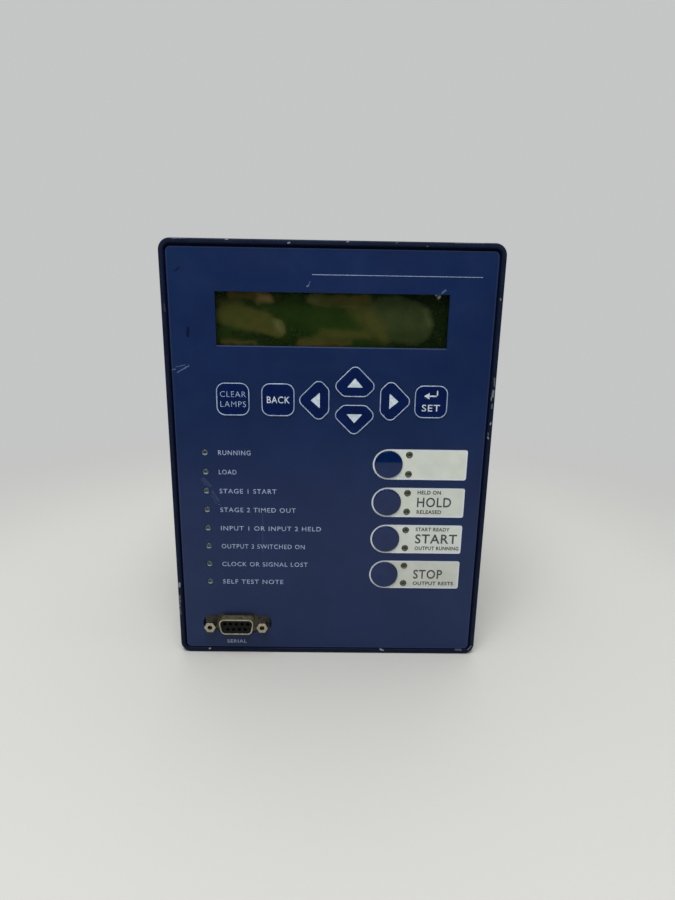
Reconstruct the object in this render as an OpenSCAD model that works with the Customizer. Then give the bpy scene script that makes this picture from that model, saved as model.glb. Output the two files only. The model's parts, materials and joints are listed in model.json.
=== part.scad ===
// Panel-mounting protection relay. Millimetres, +Z up, the front faces -Y.
// The origin is at the middle of the underside of the part's box.

/* [Front bezel] */
// Width of the front
bezel_w = 144; // [140:1:160]
// Height of the front
bezel_h = 192; // [186:1:215]
// Depth of the bezel, from the rim's front to the panel seat
bezel_d = 10; // [9:0.5:14]
// Corner radius of the front
bezel_r = 5; // [4:0.5:8]
// Width of the raised rim
rim_w = 2.3; // [2:0.1:3]
// Step from the rim's front down to the overlay
rim_step = 0.9; // [0.4:0.1:1.5]
// Radius along both front edges of the rim
rim_edge_r = 0.7; // [0.3:0.1:0.9]
// Thickness of the bezel's front plate
plate_t = 3; // [2.8:0.1:4]
// Overhang of the bezel outside the chassis
overhang = 3.25; // [3:0.25:5]
// Length of the skirt that goes inside the chassis
skirt_l = 9; // [8:0.5:14]
// Wall of the skirt
skirt_t = 2.2; // [1.8:0.1:3]
// Thickness of the panel gasket
gasket_t = 1; // [0.6:0.1:2]

/* [Overlay] */
// Thickness of the printed overlay
overlay_t = 0.6; // [0.5:0.1:0.9]
// Gap between the overlay's edge and the rim
overlay_gap = 0.6; // [0.2:0.05:0.8]
// How far the overlay sits below the middle of its pocket
overlay_drop = 0.35; // [0:0.05:0.4]

/* [Display] */
// Width of the display opening
window_w = 99; // [90:1:102]
// Height of the display opening
window_h = 22.3; // [18:0.1:24]
// Distance from the top of the front to the middle of the display
window_drop = 32; // [30:0.5:34]
// Thickness of the display window
lens_t = 1.8; // [1.2:0.1:2.2]
// Lap of the display window behind the overlay
lens_lap = 2.5; // [1.5:0.1:4]
// Border of the display frame around the opening
frame_border = 6; // [5:0.5:7]
// Thickness of the display frame's metal
frame_t = 0.8; // [0.5:0.1:1.2]
// Thickness of the display glass
glass_t = 2.8; // [2:0.1:3.5]

/* [Keys] */
// Side of a square key
key_size = 14.5; // [12:0.5:16]
// Corner radius of a square key
key_r = 3.8; // [2:0.1:5]
// Gap between the two square keys on the left
key_gap = 5.25; // [3:0.25:8]
// Distance from the top of the front to the key row
key_drop = 66.4; // [64:0.2:70]
// Middle of the arrow keys, right of the front's middle
arrows_x = 10.35; // [6:0.05:14]
// Reach of an arrow key from its middle to its tip
arrow_half = 8.55; // [7:0.05:9]
// Corner radius of an arrow key
arrow_r = 3; // [2:0.1:3.5]
// Distance from an arrow key's middle to its flat side
arrow_flat = 4.7; // [4:0.1:5.5]
// Gap between neighbouring arrow keys
arrow_gap = 1.9; // [1.6:0.1:3]
// Gap between the upper and lower arrow keys
arrow_gap_mid = 3.5; // [2:0.1:6]
// Gap between a square key and the arrow keys
arrow_side_gap = 2.05; // [1.6:0.05:4]
// Height of a key above the overlay
key_proud = 0.5; // [0.3:0.05:0.8]
// Width of the raised border on a key
key_border = 0.35; // [0.3:0.05:1.2]
// Height of the raised border on a key
key_border_h = 0.2; // [0.1:0.05:0.3]
// Travel of a key
key_travel = 0.4; // [0.2:0.05:0.6]
// Flange that keeps a key behind the overlay
key_flange = 0.45; // [0.3:0.05:0.5]
// Thickness of that flange
key_flange_t = 0.8; // [0.5:0.1:1]
// Radius of a key's stem
stem_r = 1.7; // [1.2:0.1:2.2]

/* [Operator buttons and labels] */
// Radius of an operator button
button_r = 6.3; // [5:0.1:7.2]
// White ring of the label around a button
label_ring = 0.85; // [0.5:0.05:1]
// Length of a label
label_l = 42.8; // [34:0.2:46]
// Distance from the front's right edge to a label's right end
label_in = 9.9; // [8:0.1:14]
// Corner radius of a label's right end
label_r = 1; // [0.5:0.1:2]
// Distance from a button's middle to the lamps on its label
label_lamp_dx = 9.25; // [8.8:0.05:12]
// Thickness of a label card
card_paper_t = 0.45; // [0.3:0.05:0.5]

/* [Lamps] */
// Radius of a lamp
lamp_r = 1.5; // [1:0.1:1.8]
// Distance between lamp rows
lamp_pitch = 9.08; // [8.6:0.02:9.6]
// Distance from the top of the front to the first lamp row
lamp_drop = 90.75; // [89:0.25:94]
// Distance from the front's left edge to the target lamps
lamp_in = 15.5; // [12:0.25:18]
// Height of a lamp above the overlay
lamp_proud = 0.2; // [0:0.05:0.5]

/* [Serial port] */
// Distance from the front's left edge to the middle of the port
port_in = 27.8; // [26:0.2:40]
// Height of the port's middle above the bottom of the front
port_z = 15.5; // [14.5:0.1:18]
// Distance between the jackscrews
jack_spacing = 24.99; // [24.9:0.01:25.1]
// Distance across the flats of a jackscrew
jack_af = 4.75; // [4:0.05:5]
// Length of a jackscrew in front of the flange
jack_l = 5; // [4:0.1:6]
// Radius of the threaded hole in a jackscrew
jack_hole_r = 1.15; // [1:0.05:1.3]
// Depth of the threaded hole in a jackscrew
jack_hole_l = 4; // [3:0.25:4.5]
// Width of the port's shell
shell_w = 16.4; // [16:0.1:17]
// Height of the port's shell
shell_h = 7.9; // [7.8:0.1:8.6]
// Length of the port's shell in front of its flange
shell_l = 4.5; // [4:0.1:7]
// Thickness of the shell and flange metal
shell_t = 0.5; // [0.4:0.05:0.6]
// Depth of the insulator's face behind the shell's edge
insulator_in = 0.4; // [0.2:0.1:1]
// Depth of the contacts behind the insulator's face
contact_in = 1.8; // [0.5:0.1:2.5]
// Flange beyond the middle of each jackscrew
flange_end = 2.905; // [2.8:0.005:3.2]
// Height of the port's flange
flange_h = 12.5; // [12:0.1:13]

/* [Boards] */
// Thickness of every circuit board
board_t = 1.6; // [1.2:0.1:2]
// Distance from the front plate to the front board
board_standoff = 9.5; // [9:0.5:12]
// Radius of the posts that carry the front boards
post_r = 2.6; // [2.4:0.1:2.8]
// Side of a key switch
switch_w = 6.2; // [5:0.1:7]
// Height of a key switch
switch_h = 5; // [4:0.1:6]

/* [Chassis] */
// Length of the chassis behind the panel
chassis_l = 124; // [110:1:160]
// Thickness of the chassis sheet
sheet_t = 1.2; // [1:0.1:2]
// Outer bend radius of the chassis sheet
bend_r = 2.5; // [2.3:0.1:4]
// Depth of the lips that carry the rear cover
lip = 9; // [8:0.5:10]
// Thickness of the rear cover
cover_t = 1.2; // [1:0.1:2]
// Distance between the rear cover's screws
cover_screw_dx = 36; // [30:1:38]
// Length of a slot for a panel clamp
clamp_slot_l = 18; // [10:1:30]
// Width of a slot for a panel clamp
clamp_slot_w = 6; // [5:0.5:8]
// Distance from the front's middle to the clamp slots and the bezel's screws
side_dz = 62; // [40:1:70]

/* [Cards and terminals] */
// Distance from the chassis wall to the middle of the first card slot
slot_in = 13.8; // [12.5:0.1:15]
// Thickness of a card guide
guide_t = 5; // [4:0.5:6]
// Depth of a guide's grooves
groove = 3; // [2:0.5:3.5]
// Width of a terminal block
block_w = 15; // [13:0.5:16]
// Height of the terminal blocks behind the rear cover
block_out = 12.2; // [10:0.2:16]
// Distance between the ways of a clamp terminal block
way_pitch = 12; // [10:0.25:12.5]
// Room between the chassis and each end of a clamp terminal block
block_room = 17.4; // [16:0.2:18]
// Distance between the ways of the current terminal block
current_pitch = 15; // [13:0.5:18]
// Thickness of the barriers on the current terminal block
barrier_t = 2.4; // [1.6:0.1:3]
// Height of the barriers on the current terminal block
barrier_h = 7.5; // [7:0.1:9]
// Radius of the ground stud's free end
stud_r = 2; // [1.5:0.1:2.5]
// Length of the ground stud's free end
stud_free = 7; // [5:0.5:7.5]

/* [Parts on the cards] */
// Height of a backplane socket
socket_h = 80; // [60:1:90]
// Width of a backplane socket
socket_w = 8; // [6:0.5:10]
// Thickness of an output relay
relay_t = 15; // [10:0.5:16]
// Height of an output relay
relay_h = 28; // [20:0.5:34]
// Depth of an output relay
relay_l = 10; // [8:0.5:14]
// Distance between output relays on a card
relay_pitch = 38; // [36:0.5:42]
// Thickness of a ring transformer
ring_t = 14; // [8:0.5:16]
// Radius of a ring transformer
ring_r = 14; // [10:0.5:15]
// Radius of the hole in a ring transformer
ring_bore = 6; // [4:0.5:8]
// Distance between ring transformers
ring_pitch = 32; // [31:0.5:36]
// Thickness of the power transformer's core
core_t = 13; // [8:0.5:14]
// Depth of the power transformer's core
core_l = 40; // [30:1:50]
// Height of the power transformer's core
core_h = 34; // [28:1:44]
// Height of the winding over the core
coil_proud = 2.5; // [1:0.5:3]
// Bare core at each end of the winding
coil_in = 7; // [4:0.5:9]
// Width of the ribbon link behind the front board
link_w = 50; // [30:1:60]
// Height of that link
link_h = 8; // [6:0.5:12]

/* [Fits] */
// Gap around a key or a card in the overlay
key_clear = 0.15; // [0.1:0.05:0.25]
// Gap around a key's flange and behind it
flange_clear = 0.2; // [0.15:0.05:0.3]
// Gap around a key's stem
stem_clear = 0.3; // [0.2:0.05:0.5]
// Gap between pieces that are fixed together
fit = 0.1; // [0.05:0.01:0.2]

/* [Hidden] */
$fn = 48;

// Depths behind the rim's front face
y_overlay = rim_step;
y_plate = y_overlay + overlay_t;
y_inside = y_plate + plate_t;
y_board = y_inside + board_standoff;
y_skirt = bezel_d + skirt_l;
y_lip = bezel_d + chassis_l - sheet_t;
y_cover = bezel_d + chassis_l;
y_back = y_cover + cover_t;
y_end = y_back + block_out;
y_shell = y_plate - shell_l;
y_jack = y_plate - jack_l;
y_mid = (min(y_shell, y_jack) + y_end) / 2;
z_mid = bezel_h / 2;

// Chassis and bezel outlines
chassis_w = bezel_w - 2 * overhang;
chassis_h = bezel_h - 2 * overhang;
inner_w = chassis_w - 2 * sheet_t;
inner_h = chassis_h - 2 * sheet_t;
inner_r = bend_r - sheet_t;
skirt_w = inner_w - 2 * fit;
skirt_h = inner_h - 2 * fit;
cavity_w = skirt_w - 2 * skirt_t;
cavity_h = skirt_h - 2 * skirt_t;
overlay_w = bezel_w - 2 * (rim_w + overlay_gap);
overlay_h = bezel_h - 2 * (rim_w + overlay_gap);
overlay_r = bezel_r - rim_w - overlay_gap;
z_floor = z_mid - inner_h / 2;

// Display stack
window_z = bezel_h - window_drop;
lens_w = window_w + 2 * lens_lap;
lens_h = window_h + 2 * lens_lap;
frame_w = window_w + 2 * frame_border;
frame_h = window_h + 2 * frame_border;
frame_in_w = frame_w - 2 * (frame_t + fit);
frame_in_h = frame_h - 2 * (frame_t + fit);
plate_window_w = window_w + 1;
plate_window_h = window_h + 1;

// Front boards and their posts
board_w = cavity_w - 2.4;
post_land = post_r + flange_clear;
display_board_h = frame_h + 4 * post_land;
board_low = z_mid - cavity_h / 2 + 1.2;
board_high = window_z - display_board_h / 2 - 0.8;
post_x = board_w / 2 - 3.5;
post_hole_r = 1.3;
post_hole_l = 6.5;
screw_r = post_hole_r - 0.05;

// Keys: name, kind (0 square, 1 arrow, 2 round), turn, x, z
key_z = bezel_h - key_drop;
arrow_d = arrow_half + arrow_r * (sqrt(2) - 1);
arrow_dz = arrow_flat + arrow_gap_mid / 2;
arrow_dx = 2 * arrow_d + arrow_gap * sqrt(2) - arrow_dz;
side_dx = arrow_dx + arrow_half + arrow_side_gap + key_size / 2;
lamp_z = bezel_h - lamp_drop;
lamp_x = lamp_in - bezel_w / 2;
label_h = 2 * (button_r + label_ring);
label_x1 = bezel_w / 2 - label_in;
button_x = label_x1 - label_l + label_h / 2;
function label_z(i) = lamp_z - (2 * i + 0.5) * lamp_pitch;
KEYS = [
    [0, 0, arrows_x - side_dx - key_size - key_gap, key_z],
    [0, 0, arrows_x - side_dx, key_z],
    [1, 90, arrows_x - arrow_dx, key_z],
    [1, 0, arrows_x, key_z + arrow_dz],
    [1, 180, arrows_x, key_z - arrow_dz],
    [1, 270, arrows_x + arrow_dx, key_z],
    [0, 0, arrows_x + side_dx, key_z],
    [2, 0, button_x, label_z(0)],
    [2, 0, button_x, label_z(1)],
    [2, 0, button_x, label_z(2)],
    [2, 0, button_x, label_z(3)]
];
well_l = 2 * flange_clear + key_flange_t + key_travel;
stem_end = y_board - switch_h + 1.2;
switch_bore_l = 1.2 + key_travel + 1;
TARGET_LAMPS = [for (i = [0 : 7]) [lamp_x, lamp_z - i * lamp_pitch]];
LABEL_LAMPS = [for (i = [0 : 7]) [button_x + label_lamp_dx, lamp_z - i * lamp_pitch]];
POSTS = [
    for (s = [-1, 1]) each [
        [s * post_x, port_z + flange_h / 2 + 6.5],
        [s * post_x, lamp_z - 3.5 * lamp_pitch],
        [s * post_x, board_high - 4],
        [s * post_x, window_z - frame_h / 2 - post_land],
        [s * post_x, window_z + frame_h / 2 + post_land]
    ]
];

// Serial port
port_x = port_in - bezel_w / 2;
flange_w = jack_spacing + 2 * flange_end;
shell_r = 2.4;
body_w = 19.3;
body_h = 10.7;
jack_shank_r = 1.4;
pin_hole_r = 0.8;
contact_r = 0.75;
contact_bore_r = 0.5;
contact_floor = 0.6;
y_insulator = y_shell + insulator_in;
y_contact = y_insulator + contact_in;
PINS = [
    for (i = [0 : 4]) [(i - 2) * 2.77, 1.42],
    for (i = [0 : 3]) [(i - 1.5) * 2.77, -1.42]
];

// Cards, guides and terminals
slots = 6;
slot_pitch = (inner_w - 2 * slot_in) / (slots - 1);
y_guide = y_skirt + 1;
y_guide_end = y_lip - 6;
y_backplane = y_guide + 3;
y_socket = y_backplane + board_t;
socket_l = 9;
card_in = 5.5;
y_card = y_socket + socket_l - card_in;
y_card_end = y_guide_end;
card_low = z_floor + guide_t - groove + 0.3;
card_h = inner_h - 2 * (guide_t - groove + 0.3);
tongue_h = socket_h - 4;
y_parts = y_socket + 35;
block_in = 16;
way_wall = 2;
ways = floor((inner_h - 2 * (block_room + way_wall)) / way_pitch);
current_ways = 8;
block_step = 2.5;
current_h = current_ways * current_pitch + barrier_t;
way_screw_r = 2.4;
way_hole_l = 4;
current_screw_r = 3.6;
current_screw_h = 2.4;
jack_w = 13.5;
jack_h = 34;
jack_depth = 22;
jack_out = 1;
jack_z = z_mid + 30;
mouth_w = 8.4;
mouth_h = 11.9;
mouth_l = 14;
mouth_gap = 4.5;
latch_w = 1.8;
latch_h = 6;
lip_z = z_floor + lip / 2;
lip_z_top = bezel_h - lip_z;
stud_x = -cover_screw_dx;
cover_window = 0.5;
nut_l = 4;
stud_thick_r = stud_r + 0.6;
function slot_x(i) = ((slots - 1) / 2 - i) * slot_pitch;
function card_x(i) = slot_x(i) + block_w / 2;

// Flat outlines
module rounded(w, h, r) {
    square([w - 2 * r, h], center = true);
    square([w, h - 2 * r], center = true);
    for (sx = [-1, 1], sy = [-1, 1])
        translate([sx * (w / 2 - r), sy * (h / 2 - r)])
            circle(r);
}

function heading(a, b) = atan2(b[1] - a[1], b[0] - a[0]);

// A convex outline of arcs round the centres of its corners, counter-clockwise
module rounded_corners(points, r) {
    n = len(points);
    polygon([
        for (i = [0 : n - 1])
            let (
                from = heading(points[(i + n - 1) % n], points[i]) - 90,
                turn = (heading(points[i], points[(i + 1) % n]) - 90 - from + 720) % 360
            )
            for (k = [0 : arc_steps])
                points[i] + r * [cos(from + turn * k / arc_steps), sin(from + turn * k / arc_steps)]
    ]);
}
arc_steps = 8;

module key_outline(kind, turn, grow) {
    tip = arrow_d - arrow_r * sqrt(2);
    base = arrow_flat - arrow_r;
    if (kind == 0)
        rounded(key_size + 2 * grow, key_size + 2 * grow, key_r + grow);
    if (kind == 1)
        rotate(turn)
            rounded_corners(
                [[0, tip], [-tip, 0], [base - tip, -base], [tip - base, -base], [tip, 0]],
                arrow_r + grow);
    if (kind == 2)
        circle(button_r + grow);
}

module label_outline(grow) {
    end = label_h / 2 + grow;
    corner = label_r + grow;
    length = label_l - label_h / 2 + grow;
    circle(end);
    translate([0, -end])
        square([length - corner, 2 * end]);
    translate([0, corner - end])
        square([length, 2 * (end - corner)]);
    for (s = [-1, 1])
        translate([length - corner, s * (end - corner)])
            circle(corner);
}

// The shell's D outline, wider at the top
module d_outline(grow) {
    half = shell_w / 2 - shell_r;
    rise = shell_h / 2 - shell_r;
    lean = 2 * rise * tan(10);
    rounded_corners(
        [[half, rise], [-half, rise], [lean - half, -rise], [half - lean, -rise]],
        shell_r + grow);
}

// The opening in the overlay for the port, with a lobe round each jackscrew
module port_outline() {
    rounded(shell_w + 4, shell_h + 2.6, 3);
    square([jack_spacing, 5], center = true);
    for (s = [-1, 1])
        translate([s * jack_spacing / 2, 0])
            circle(4.1);
}

// Places a flat outline of the front as a slab from y0, t deep
module slab(y0, t) {
    translate([0, y0 + t - y_mid, 0])
        rotate([90, 0, 0])
            linear_extrude(t)
                children();
}

// Places something drawn about the middle of the front, with its z axis out of the front
module from_front(y0) {
    translate([0, y0 - y_mid, 0])
        rotate([90, 0, 0])
            children();
}

// A round rod along the depth, from y0, l long
module rod(x, z, y0, l, r) {
    translate([x, y0 - y_mid, z])
        rotate([-90, 0, 0])
            cylinder(h = l, r = r);
}

// A box from its low corner in the part's frame before centring
module block(x, y, z, size) {
    translate([x, y - y_mid, z])
        cube(size);
}

// Cross section of the rim: in from the outer face, and up from the panel seat
module rim_section() {
    square([rim_w, bezel_d - rim_edge_r]);
    translate([rim_edge_r, 0])
        square([rim_w - 2 * rim_edge_r, bezel_d]);
    for (x = [rim_edge_r, rim_w - rim_edge_r])
        translate([x, bezel_d - rim_edge_r])
            circle(rim_edge_r);
}

// The rim's section carried round the front's four sides and corners
module rim_band() {
    for (i = [0 : 3]) {
        across = i % 2 == 0 ? bezel_w / 2 : bezel_h / 2;
        along = i % 2 == 0 ? bezel_h / 2 : bezel_w / 2;
        rotate(90 * i) {
            translate([across, along - bezel_r, 0])
                rotate([90, 0, 0])
                    linear_extrude(2 * (along - bezel_r))
                        mirror([1, 0])
                            rim_section();
            translate([across - bezel_r, along - bezel_r, 0])
                rotate_extrude(angle = 90)
                    translate([bezel_r, 0])
                        mirror([1, 0])
                            rim_section();
        }
    }
}

module bezel_block() {
    from_front(bezel_d)
        translate([0, z_mid, 0])
            rim_band();
    slab(y_plate, bezel_d - y_plate)
        translate([0, z_mid])
            rounded(bezel_w - rim_w, bezel_h - rim_w, bezel_r - rim_w / 2);
    slab(bezel_d, skirt_l)
        translate([0, z_mid])
            rounded(skirt_w, skirt_h, inner_r);
}

// The wells, bores and openings in the front plate
module plate_cuts() {
    slab(y_plate - 1, lens_t + 1 + fit)
        translate([0, window_z])
            square([lens_w + 2 * fit, lens_h + 2 * fit], center = true);
    slab(y_plate, plate_t + 1)
        translate([0, window_z])
            square([plate_window_w, plate_window_h], center = true);
    for (k = KEYS) {
        slab(y_plate - 1, well_l + 1)
            translate([k[2], k[3]])
                key_outline(k[0], k[1], key_flange + flange_clear);
        rod(k[2], k[3], y_plate, plate_t + 1, stem_r + stem_clear);
    }
    for (p = concat(TARGET_LAMPS, LABEL_LAMPS))
        rod(p[0], p[1], y_plate - 1, plate_t + 2, lamp_r + fit);
    slab(y_plate - 1, shell_t + 1 + fit)
        translate([port_x, port_z])
            square([flange_w + 2 * fit, flange_h + 2 * fit], center = true);
    slab(y_plate, plate_t + 1)
        translate([port_x, port_z])
            square([body_w + 0.4, body_h + 0.4], center = true);
    for (s = [-1, 1])
        rod(port_x + s * jack_spacing / 2, port_z, y_plate, plate_t + 1, jack_shank_r + fit);
}

module front_bezel() {
    color([0.11, 0.12, 0.17])
    difference() {
        union() {
            difference() {
                bezel_block();
                slab(y_inside, y_skirt - y_inside + 1)
                    translate([0, z_mid])
                        rounded(cavity_w, cavity_h, 1.5);
                plate_cuts();
            }
            for (p = POSTS)
                rod(p[0], p[1], y_inside - 0.5, board_standoff + 0.5, post_r);
        }
        for (p = POSTS)
            rod(p[0], p[1], y_board - post_hole_l, post_hole_l + 1, post_hole_r);
        for (s = [-1, 1], t = [-1, 1])
            side_screw_hole(s, t);
    }
}

// The hole for a screw that goes through the chassis wall into the skirt
module side_screw_hole(s, t) {
    translate([s * chassis_w / 2, y_screw - y_mid, z_mid + t * side_dz])
        rotate([0, -90 * s, 0])
            translate([0, 0, -1])
                cylinder(h = 1 + sheet_t + fit + skirt_t - 0.2, r = side_screw_r + fit);
}
side_screw_r = 1.5;
side_head_r = 2.7;
y_screw = bezel_d + skirt_l / 2;

module panel_gasket() {
    color([0.08, 0.08, 0.08])
    slab(bezel_d, gasket_t)
        translate([0, z_mid])
            difference() {
                rounded(bezel_w - 1, bezel_h - 1, bezel_r - 0.5);
                rounded(chassis_w + 2 * fit, chassis_h + 2 * fit, bend_r + fit);
            }
}

module keypad_overlay() {
    color([0.13, 0.17, 0.31])
    slab(y_overlay, overlay_t)
        difference() {
            translate([0, z_mid - overlay_drop])
                rounded(overlay_w, overlay_h, overlay_r);
            translate([0, window_z])
                square([window_w, window_h], center = true);
            for (i = [0 : 6])
                translate([KEYS[i][2], KEYS[i][3]])
                    key_outline(KEYS[i][0], KEYS[i][1], key_clear);
            for (i = [0 : 3])
                translate([button_x, label_z(i)])
                    label_outline(fit);
            for (p = TARGET_LAMPS)
                translate(p)
                    circle(lamp_r + fit);
            translate([port_x, port_z])
                port_outline();
        }
}

module display_window() {
    color([0.2, 0.25, 0.15, 0.4])
    slab(y_plate, lens_t)
        translate([0, window_z])
            square([lens_w, lens_h], center = true);
}

module display_frame() {
    color([0.07, 0.07, 0.07])
    difference() {
        slab(y_inside, board_standoff)
            translate([0, window_z])
                square([frame_w, frame_h], center = true);
        slab(y_inside - 1, board_standoff + 2)
            translate([0, window_z])
                square([window_w + 2, window_h + 2], center = true);
        slab(y_inside + frame_t, board_standoff)
            translate([0, window_z])
                square([frame_in_w + 2 * fit, frame_in_h + 2 * fit], center = true);
    }
}

module display_glass() {
    color([0.16, 0.2, 0.08])
    slab(y_inside + frame_t, glass_t)
        translate([0, window_z])
            square([frame_in_w, frame_in_h], center = true);
}

module display_backlight() {
    color([0.8, 0.82, 0.75])
    slab(y_inside + frame_t + glass_t, board_standoff - frame_t - glass_t)
        translate([0, window_z])
            square([frame_in_w, frame_in_h], center = true);
}

module display_board() {
    color([0.05, 0.3, 0.15])
    slab(y_board, board_t)
        difference() {
            translate([0, window_z])
                square([board_w, display_board_h], center = true);
            for (p = POSTS)
                if (p[1] > board_high)
                    translate(p)
                        circle(post_hole_r + 0.2);
        }
}

module front_board() {
    color([0.05, 0.3, 0.15])
    slab(y_board, board_t)
        difference() {
            translate([-board_w / 2, board_low])
                square([board_w, board_high - board_low]);
            for (p = POSTS)
                if (p[1] < board_high)
                    translate(p)
                        circle(post_hole_r + 0.2);
        }
}

// Pan-headed screws through both boards into the bezel's posts
module front_board_screws() {
    color([0.75, 0.75, 0.74])
    for (p = POSTS)
        difference() {
            union() {
                rod(p[0], p[1], y_board - post_hole_l + 1, post_hole_l - 1 + board_t, screw_r);
                rod(p[0], p[1], y_board + board_t, 1.9, 2.4);
            }
            block(p[0] - 0.3, y_board + board_t + 0.9, p[1] - 1.5, [0.6, 2, 3]);
            block(p[0] - 1.5, y_board + board_t + 0.9, p[1] - 0.3, [3, 2, 0.6]);
        }
}

// A key: the cap through the overlay, its raised border, its flange and its stem
module key_cap(i) {
    k = KEYS[i];
    y_cap = y_overlay - key_proud;
    y_flange = y_plate + flange_clear;
    difference() {
        slab(y_cap, y_flange - y_cap)
            translate([k[2], k[3]])
                key_outline(k[0], k[1], 0);
        slab(y_cap - 1, 1 + key_border_h)
            translate([k[2], k[3]])
                key_outline(k[0], k[1], -key_border);
    }
    slab(y_flange, key_flange_t)
        translate([k[2], k[3]])
            key_outline(k[0], k[1], key_flange);
    rod(k[2], k[3], y_flange + key_flange_t, stem_end - y_flange - key_flange_t, stem_r);
}

module key_reset() {
    color([0.05, 0.08, 0.28]) key_cap(0);
}

module key_back() {
    color([0.05, 0.08, 0.28]) key_cap(1);
}

module key_left() {
    color([0.05, 0.08, 0.28]) key_cap(2);
}

module key_up() {
    color([0.05, 0.08, 0.28]) key_cap(3);
}

module key_down() {
    color([0.05, 0.08, 0.28]) key_cap(4);
}

module key_right() {
    color([0.05, 0.08, 0.28]) key_cap(5);
}

module key_enter() {
    color([0.05, 0.08, 0.28]) key_cap(6);
}

module operator_button(i) {
    color([0.08, 0.12, 0.34]) key_cap(7 + i);
}

module label_card(i) {
    color([0.8, 0.81, 0.78])
    slab(y_plate - card_paper_t, card_paper_t)
        difference() {
            translate([button_x, label_z(i)])
                label_outline(0);
            translate([button_x, label_z(i)])
                circle(button_r + key_clear);
            for (p = LABEL_LAMPS)
                translate(p)
                    circle(lamp_r + fit);
        }
}

// Round lamps from the front board through the plate, with a bevelled tip
module lamps(places) {
    bevel = 0.35;
    y_tip = y_overlay - lamp_proud;
    for (p = places) {
        rod(p[0], p[1], y_tip + bevel, y_board - y_tip - bevel, lamp_r);
        translate([p[0], y_tip - y_mid, p[1]])
            rotate([-90, 0, 0])
                cylinder(h = bevel, r1 = lamp_r - bevel, r2 = lamp_r);
    }
}

module target_lamps() {
    color([0.42, 0.44, 0.38]) lamps(TARGET_LAMPS);
}

module button_lamps() {
    color([0.42, 0.44, 0.38]) lamps(LABEL_LAMPS);
}

// One switch under each key, bored for the key's stem
module key_switches() {
    color([0.1, 0.1, 0.1])
    for (k = KEYS)
        difference() {
            slab(y_board - switch_h, switch_h)
                translate([k[2], k[3]])
                    square(switch_w, center = true);
            rod(k[2], k[3], y_board - switch_h - 1, switch_bore_l + 1, stem_r + stem_clear);
        }
}

module front_port_shell() {
    color([0.62, 0.6, 0.48])
    difference() {
        union() {
            slab(y_plate, shell_t)
                translate([port_x, port_z])
                    rounded(flange_w, flange_h, 2);
            slab(y_shell, shell_l + shell_t)
                translate([port_x, port_z])
                    d_outline(0);
        }
        slab(y_shell - 1, shell_l + shell_t + 2)
            translate([port_x, port_z])
                d_outline(-shell_t);
        for (s = [-1, 1])
            rod(port_x + s * jack_spacing / 2, port_z, y_plate - 1, shell_t + 2, jack_shank_r + fit);
    }
}

module front_port_insulator() {
    color([0.06, 0.06, 0.06])
    difference() {
        union() {
            slab(y_insulator, y_plate - y_insulator + shell_t)
                translate([port_x, port_z])
                    d_outline(-shell_t - fit);
            slab(y_plate + shell_t, y_board - y_plate - shell_t)
                translate([port_x, port_z])
                    square([body_w, body_h], center = true);
        }
        for (p = PINS)
            rod(port_x + p[0], port_z + p[1], y_shell - 1, shell_l + 1, pin_hole_r);
    }
}

// Nine contact tubes, seated at the bottom of the insulator's holes
module front_port_contacts() {
    color([0.8, 0.66, 0.3])
    for (p = PINS)
        difference() {
            rod(port_x + p[0], port_z + p[1], y_contact, y_plate - y_contact, contact_r);
            rod(port_x + p[0], port_z + p[1], y_shell, shell_l - contact_floor, contact_bore_r);
        }
}

module front_port_jackscrews() {
    color([0.7, 0.69, 0.6])
    for (s = [-1, 1])
        difference() {
            union() {
                translate([port_x + s * jack_spacing / 2, y_jack - y_mid, port_z])
                    rotate([-90, 0, 0])
                        cylinder(h = jack_l, r = jack_af / sqrt(3), $fn = 6);
                rod(port_x + s * jack_spacing / 2, port_z, y_plate - 0.5, plate_t + 2, jack_shank_r);
            }
            rod(port_x + s * jack_spacing / 2, port_z, y_jack - 1, jack_hole_l + 1, jack_hole_r);
        }
}

// The folded wrap with its rear lips, clamp slots and screw holes
module chassis() {
    color([0.66, 0.68, 0.69])
    difference() {
        union() {
            slab(bezel_d, chassis_l)
                translate([0, z_mid])
                    difference() {
                        rounded(chassis_w, chassis_h, bend_r);
                        rounded(inner_w, inner_h, inner_r);
                    }
            for (z = [z_floor - 0.1, bezel_h - z_floor - lip + 0.1])
                block(4 - inner_w / 2, y_lip, z, [inner_w - 8, sheet_t, lip]);
        }
        for (s = [-1, 1], t = [-1, 1]) {
            side_screw_hole(s, t);
            translate([s * chassis_w / 2, y_screw - y_mid, z_mid + t * side_dz])
                rotate([0, -90 * s, 0])
                    cylinder(h = sheet_t, r1 = side_head_r + fit, r2 = side_screw_r + fit);
            block(s * (inner_w + sheet_t) / 2 - sheet_t, y_skirt + 8, z_mid + t * side_dz - clamp_slot_w / 2,
                [2 * sheet_t, clamp_slot_l, clamp_slot_w]);
        }
        for (p = COVER_SCREWS)
            rod(p[0], p[1], y_lip - 1, sheet_t + 2, cover_screw_r + fit);
        rod(stud_x, lip_z, y_lip - 1, sheet_t + 2, stud_thick_r + fit);
    }
}
cover_screw_r = 1.5;
cover_screw_l = 3;
cover_head_r = 2.8;
cover_head_h = 2;
cross_w = 0.8;
cross_l = 3.6;
COVER_SCREWS = [for (i = [0 : 3], z = [lip_z, lip_z_top]) [(i - 1.5) * cover_screw_dx, z]];

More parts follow.
